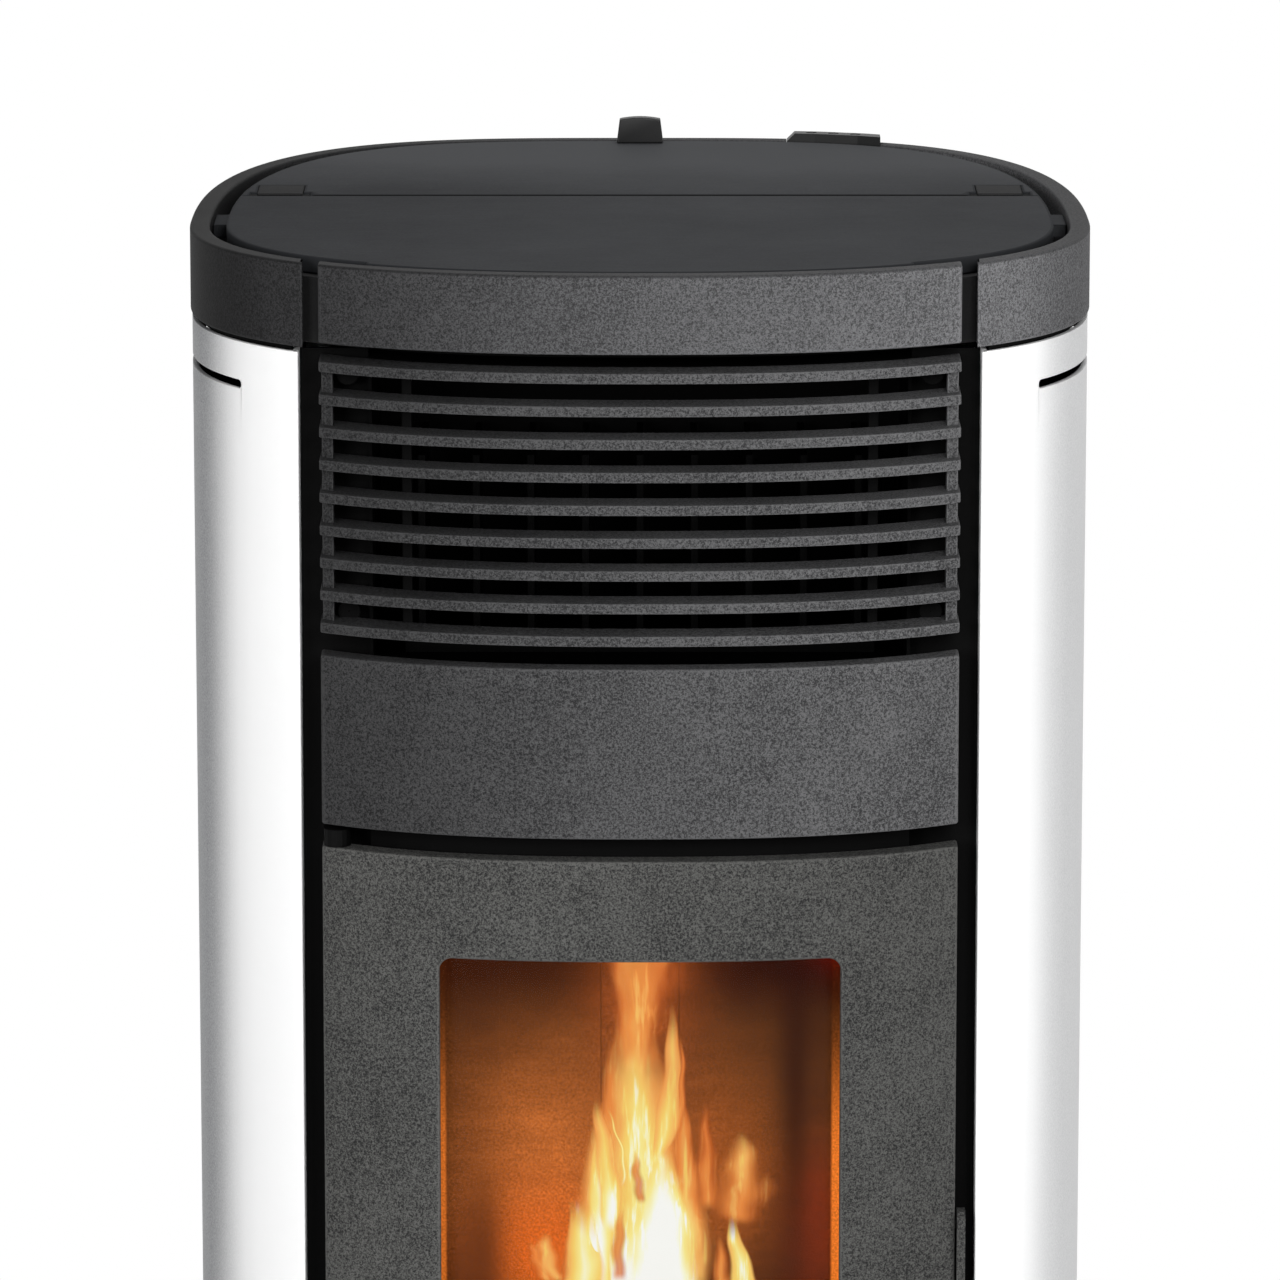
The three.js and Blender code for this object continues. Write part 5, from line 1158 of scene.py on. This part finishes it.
class STOVE_OT_fire(bpy.types.Operator):
    """Flames and burning pellets over the burn pot"""
    bl_idname = "stove.fire"
    bl_label = "Fire"

    steps_up, steps_across = 57, 17

    # Each tongue: foot z, tip z, depth, burn at foot and tip, edge width, then four steps from foot to tip
    # of its left edge and of its right edge.
    tongues = [
        (566, 677, -70, (0.56, 0.46), 0.50, (-13, -15, -9, -44), (4, 8, 9, 46)),
        (574, 668, -72, (0.34, 0.20), 0.90, (-20, -22, -14, -50), (16, 18, 20, 60)),
        (556, 642, -74, (0.66, 0.50), 0.90, (-3, -1, -1, 2), (5, 5, 4, 6)),
        (424, 616, -78, (0.70, 0.46), 0.30, (-56, -48, -26, -15), (50, 42, 26, 5)),
        (470, 572, -80, (0.46, 0.30), 0.60, (14, 20, 22, 20), (40, 42, 34, 26)),
        (486, 558, -76, (0.26, 0.20), 0.95, (32, 32, 34, 36), (52, 51, 48, 42)),
        (426, 606, -84, (1.00, 0.58), 0.60, (-34, -18, -24, -13), (44, 35, 17, 2)),
        (520, 624, -86, (0.66, 0.52), 0.40, (4, 7, 18, 18), (14, 32, 30, 20)),
        (536, 604, -85, (0.34, 0.26), 0.80, (16, 22, 26, 22), (24, 34, 30, 25)),
        (420, 556, -90, (0.96, 0.68), 0.35, (-36, -36, -32, -30), (-18, -16, -12, -20)),
        (478, 566, -94, (0.84, 0.56), 0.35, (-23, -27, -32, -27), (-12, -9, -14, -25)),
        (508, 560, -95, (0.90, 0.66), 0.90, (-13, -10, -14, -22), (-9, -6, -11, -20)),
        (416, 534, -96, (1.15, 0.84), 0.35, (-8, -9, -10, 12), (44, 41, 31, 18)),
        (416, 506, -98, (0.92, 0.64), 0.35, (-52, -51, -46, -44), (-20, -20, -22, -34)),
        (420, 500, -99, (1.00, 0.80), 0.80, (-36, -34, -32, -30), (-24, -24, -24, -27)),
        (498, 534, -102, (0.14, 0.25), 0.9, (-3, -7, -7, -4), (3, 6, 3, -2)),
        (448, 500, -102, (0.18, 0.30), 0.8, (-17, -21, -17, -13), (-7, -6, -8, -11)),
        (480, 542, -84, (0.30, 0.56), 0.90, (50, 30, 50, 60), (78, 88, 82, 66)),
        (420, 496, -104, (0.86, 0.70), 0.35, (57, 54, 53, 55), (80, 78, 66, 57)),
        (420, 476, -82, (0.34, 0.30), 0.95, (40, 42, 44, 46), (62, 60, 56, 52)),
        (448, 482, -100, (0.50, 0.44), 0.80, (-54, -68, -68, -62), (-44, -44, -50, -56)),
        (442, 470, -79, (0.34, 0.28), 0.95, (-60, -76, -76, -70), (-48, -50, -54, -62)),
    ]

    def execute(self, context):
        parts, maps, burns, widths = [], [], [], []
        for i, (z0, z1, depth, burn, width, left, right) in enumerate(self.tongues):
            points, uv = self.tongue(z0, z1, depth, left, right, 1.7 * i)
            parts.append((points, grid_faces(self.steps_up, self.steps_across), np.zeros(len(points))))
            maps.append(uv)
            burns.append(burn[0] + (burn[1] - burn[0]) * uv[:, 1])
            widths.append(np.full(len(points), width))
        piece = make_piece("flames", parts, finish("flame"), "burn_pot", closed=False, merge=False)
        mesh = piece.data
        layer = mesh.uv_layers.new(name="tongue")
        corners = np.zeros(len(mesh.loops), np.int32)
        mesh.loops.foreach_get("vertex_index", corners)
        layer.data.foreach_set("uv", np.concatenate(maps)[corners].reshape(-1))
        for name, values in (("burn", burns), ("edge_width", widths)):
            attribute = mesh.attributes.new(name, "FLOAT", "POINT")
            attribute.data.foreach_set("value", np.concatenate(values).astype(np.float32))
        self.pellets()
        return {"FINISHED"}

    def tongue(self, z0, z1, depth, left, right, phase):
        """Either edge follows a cubic through its four steps and sways a little more towards the tip. The
        sheet bulges forward in its middle."""
        t = np.linspace(0, 1, self.steps_up)[:, None]
        v = np.linspace(0, 1, self.steps_across)[None]
        shares = [(1 - t) ** 3, 3 * t * (1 - t) ** 2, 3 * t * t * (1 - t), t ** 3]
        sway = 1.2 * t * np.sin(7 * t + phase) + 0.6 * np.sin(17 * t + 2 * phase)
        low = sum(share * step for share, step in zip(shares, left)) + sway
        high = sum(share * step for share, step in zip(shares, right)) + sway
        width = np.maximum(high - low, 1.0) * (1 + 0.06 * np.sin(11 * t + phase))
        x = low + v * width
        z = z0 + (z1 - z0) * t + 0 * v
        y = depth - 0.5 * width * v * (1 - v) + np.sin(6 * t + phase)
        points = np.stack([x, y, z], -1)
        uv = np.stack(np.broadcast_arrays(v, t), -1)
        return points.reshape(-1, 3), uv.reshape(-1, 2)

    def pellets(self):
        """Short rods with rounded ends lie heaped in the pot, each turned its own way."""
        chance = np.random.default_rng(7)
        count, facets = 150, 10
        around = np.linspace(0, 2 * math.pi, facets, endpoint=False)[:, None]
        profile = np.array([(0.0, -1.0), (0.62, -0.97), (1.0, -0.8), (1.0, 0.8), (0.62, 0.97), (0.0, 1.0)])
        radius, along = profile.T
        ring = np.stack(np.broadcast_arrays(radius * np.cos(around), radius * np.sin(around), along), -1)
        faces = grid_faces(facets, len(profile), True)
        parts = []
        for i in range(count):
            size = np.array([3.0, 3.0, chance.uniform(6, 11)])
            yaw, tip = chance.uniform(0, 2 * math.pi), chance.normal(math.pi / 2, 0.35)
            cy, sy, ct, st = math.cos(yaw), math.sin(yaw), math.cos(tip), math.sin(tip)
            turn = (np.array([[cy, -sy, 0], [sy, cy, 0], [0, 0, 1]])
                    @ np.array([[ct, 0, st], [0, 1, 0], [-st, 0, ct]]))
            layer = i / count
            spread = 0.62 + 0.25 * layer
            spot = np.array([chance.uniform(-54, 54) * spread, -80 + chance.uniform(-36, 36) * spread * 0.8,
                             362 + 28 * layer])
            points = ((ring * size) @ turn.T + spot).reshape(-1, 3)
            parts.append((points, faces, np.zeros(len(points))))
        make_piece("burning_pellets", parts, finish("embers"), "burn_pot")


class STOVE_OT_feet(bpy.types.Operator):
    """Feet, flue spigot and air inlet with its flap"""
    bl_idname = "stove.turned_parts"
    bl_label = "Feet and pipes"

    # Profiles of (radius, along) that are turned about their middle lines.
    foot = [(0, 0), (20, 0), (20, 6), (16, 9), (10, 10.2), (10, 19.7), (6, 19.9), (6, 26), (0, 26)]
    collar = [(38, 75.6), (45, 75.6), (45, 78.6), (40, 78.7), (40, 271), (38, 271)]
    pipe = rectangle(23, 25, 15.3, 263)
    flap = rectangle(0, 22.6, 60, 61.5)

    def execute(self, context):
        for name, (x, y) in FEET.items():
            make_piece("levelling_foot_" + name, [turned_round(self.foot, 0.6, (x, y, 0), "z", 48, 2)],
                       finish("plastic"), "stove", ["foot_" + name])
        make_piece("flue_collar", [turned_round(self.collar, 0.5, FLUE_AXIS, "y", 96, 2)],
                   finish("raw_steel"), "stove", ["flue_spigot"])
        make_piece("air_inlet", [turned_round(self.pipe, 0.5, AIR_AXIS, "y", 72, 2)],
                   finish("raw_steel"), "stove", ["air_inlet_pipe"])
        make_piece("air_flap", [turned_round(self.flap, 0.3, AIR_AXIS, "y", 72, 2)],
                   finish("black_steel"), "stove")
        return {"FINISHED"}


class STOVE_OT_solids(bpy.types.Operator):
    """Finishes for the solids that stay as they are"""
    bl_idname = "stove.solids"
    bl_label = "Frame, firebox and works"

    def execute(self, context):
        slots = {part["node"]: part["material_slot"] for part in frame["record"]["subparts"]}
        # Inside the stove: the heat exchanger is near black as painted shade behind the grille, and the auger
        # and the pot's holder carry the painted firelight of the firebox.
        inside = {"auger_tube": "lining", "heat_exchanger": "black_steel", "hopper": "raw_steel",
                  "burn_pot": "embers", "burn_pot_holder": "sooted_steel", "auger_screw": "lining",
                  "rear_panel": "back_paint"}
        for name, node in frame["nodes"].items():
            node.data.materials.clear()
            node.data.materials.append(finish(inside.get(name, slots[name])))
        return {"FINISHED"}


class STOVE_OT_stage(bpy.types.Operator):
    """Floor, lamps, background and camera"""
    bl_idname = "stove.stage"
    bl_label = "Studio"

    def execute(self, context):
        studio = context.scene.stove_studio
        self.floor()
        self.surround(studio.surround)
        for name, spot, size, power in (
                ("right_softbox", (2.8, -1.2, 1.6), 1.4, studio.right_lamp),
                ("left_softbox", (-1.6, -3.8, 1.8), 1.2, studio.left_lamp),
                ("front_softbox", (0.9, -4.4, 2.7), 1.4, studio.front_lamp),
                ("top_softbox", (0.3, 0.8, 3.4), 1.8, studio.top_lamp)):
            self.lamp(name, spot, size, power)
        camera = bpy.data.cameras.new("camera")
        camera.sensor_width = SENSOR_WIDTH
        camera.lens = FOCAL_PIXELS / FRAME_PIXELS * SENSOR_WIDTH
        camera.clip_end = 100
        view = bpy.data.objects.new("camera", camera)
        view.location = CAMERA_SPOT
        view.rotation_euler = (math.pi / 2 - studio.camera_tilt, 0, 0)
        context.scene.collection.objects.link(view)
        context.scene.camera = view
        context.scene.view_settings.view_transform = "Standard"
        return {"FINISHED"}

    def lamp(self, name, spot, size, power):
        """A square softbox that faces the middle of the stove."""
        light = bpy.data.lights.new(name, "AREA")
        light.size = size
        light.energy = power
        lamp = bpy.data.objects.new(name, light)
        lamp.location = spot
        aim = np.array(LAMP_AIM) - np.array(spot)
        lamp.rotation_euler = (math.acos(-aim[2] / np.linalg.norm(aim)), 0,
                               math.atan2(aim[1], aim[0]) - math.pi / 2)
        bpy.context.scene.collection.objects.link(lamp)

    def floor(self):
        """A disc whose rings widen outwards. Its far part shows plain white and its near part keeps the
        stove's shadow."""
        turn = np.linspace(0, 2 * math.pi, 96, endpoint=False)[:, None]
        reach = np.array([0.0, 0.3, 0.6, 1.0, 1.6, 3.0, 6.0, 12.0])[None]
        points = np.stack(np.broadcast_arrays(reach * np.cos(turn), reach * np.sin(turn), -0.0005), -1)
        mesh = bpy.data.meshes.new("studio_floor")
        faces = [face[::-1] for face in grid_faces(96, 8, True, False)]
        mesh.from_pydata(points.reshape(-1, 3), [], faces)
        f = Finish("studio_floor")
        x, y, _ = f.parts()
        far = (x * x + y * y).math("SQRT").ramp(0.75, 1.35)
        pale = f.node("ShaderNodeBsdfDiffuse", {"Color": (0.9, 0.9, 0.9, 1)})
        white = f.node("ShaderNodeEmission", {"Color": (1, 1, 1, 1), "Strength": 1.0})
        mixed = f.node("ShaderNodeMixShader", {0: far * f.seen(), 1: pale, 2: white})
        f.node("ShaderNodeOutputMaterial", {"Surface": mixed})
        mesh.materials.append(f.material)
        floor = bpy.data.objects.new("studio_floor", mesh)
        bpy.context.scene.collection.objects.link(floor)

    def surround(self, level):
        """White where the camera, a reflection or a look through glass sees it, and a soft level of
        light for everything else."""
        world = bpy.data.worlds.new("studio")
        bpy.context.scene.world = world
        f = Finish("studio", world)
        soft = f.node("ShaderNodeBackground", {"Color": (1, 1, 1, 1), "Strength": level})
        white = f.node("ShaderNodeBackground", {"Color": (1, 1, 1, 1), "Strength": 1.0})
        mixed = f.node("ShaderNodeMixShader", {0: f.seen(), 1: soft, 2: white})
        f.node("ShaderNodeOutputWorld", {"Surface": mixed})


STEPS = ("solids", "castings", "grille", "top", "panels", "door", "fire", "turned_parts", "stage")


class STOVE_PT_sidebar(bpy.types.Panel):
    """Lists the pieces of the stove in the order in which they are made"""
    bl_idname = "STOVE_PT_sidebar"
    bl_label = "Pellet stove"
    bl_space_type = "VIEW_3D"
    bl_region_type = "UI"
    bl_category = "Stove"

    def draw(self, context):
        for step in STEPS:
            self.layout.operator("stove." + step)
        for group in (context.scene.stove_look, context.scene.stove_studio):
            for name in group.bl_rna.properties.keys():
                if name not in ("rna_type", "name"):
                    self.layout.prop(group, name)


CLASSES = (StoveLook, StoveStudio, STOVE_OT_solids, STOVE_OT_castings, STOVE_OT_grille, STOVE_OT_top,
           STOVE_OT_panels, STOVE_OT_door, STOVE_OT_fire, STOVE_OT_feet, STOVE_OT_stage, STOVE_PT_sidebar)


def register():
    for cls in CLASSES:
        bpy.utils.register_class(cls)
    bpy.types.Scene.stove_look = bpy.props.PointerProperty(type=StoveLook)
    bpy.types.Scene.stove_studio = bpy.props.PointerProperty(type=StoveStudio)


def unregister():
    del bpy.types.Scene.stove_studio
    del bpy.types.Scene.stove_look
    for cls in reversed(CLASSES):
        bpy.utils.unregister_class(cls)


def main():
    register()
    for step in STEPS:
        getattr(bpy.ops.stove, step)()


if __name__ == "__main__":
    main()
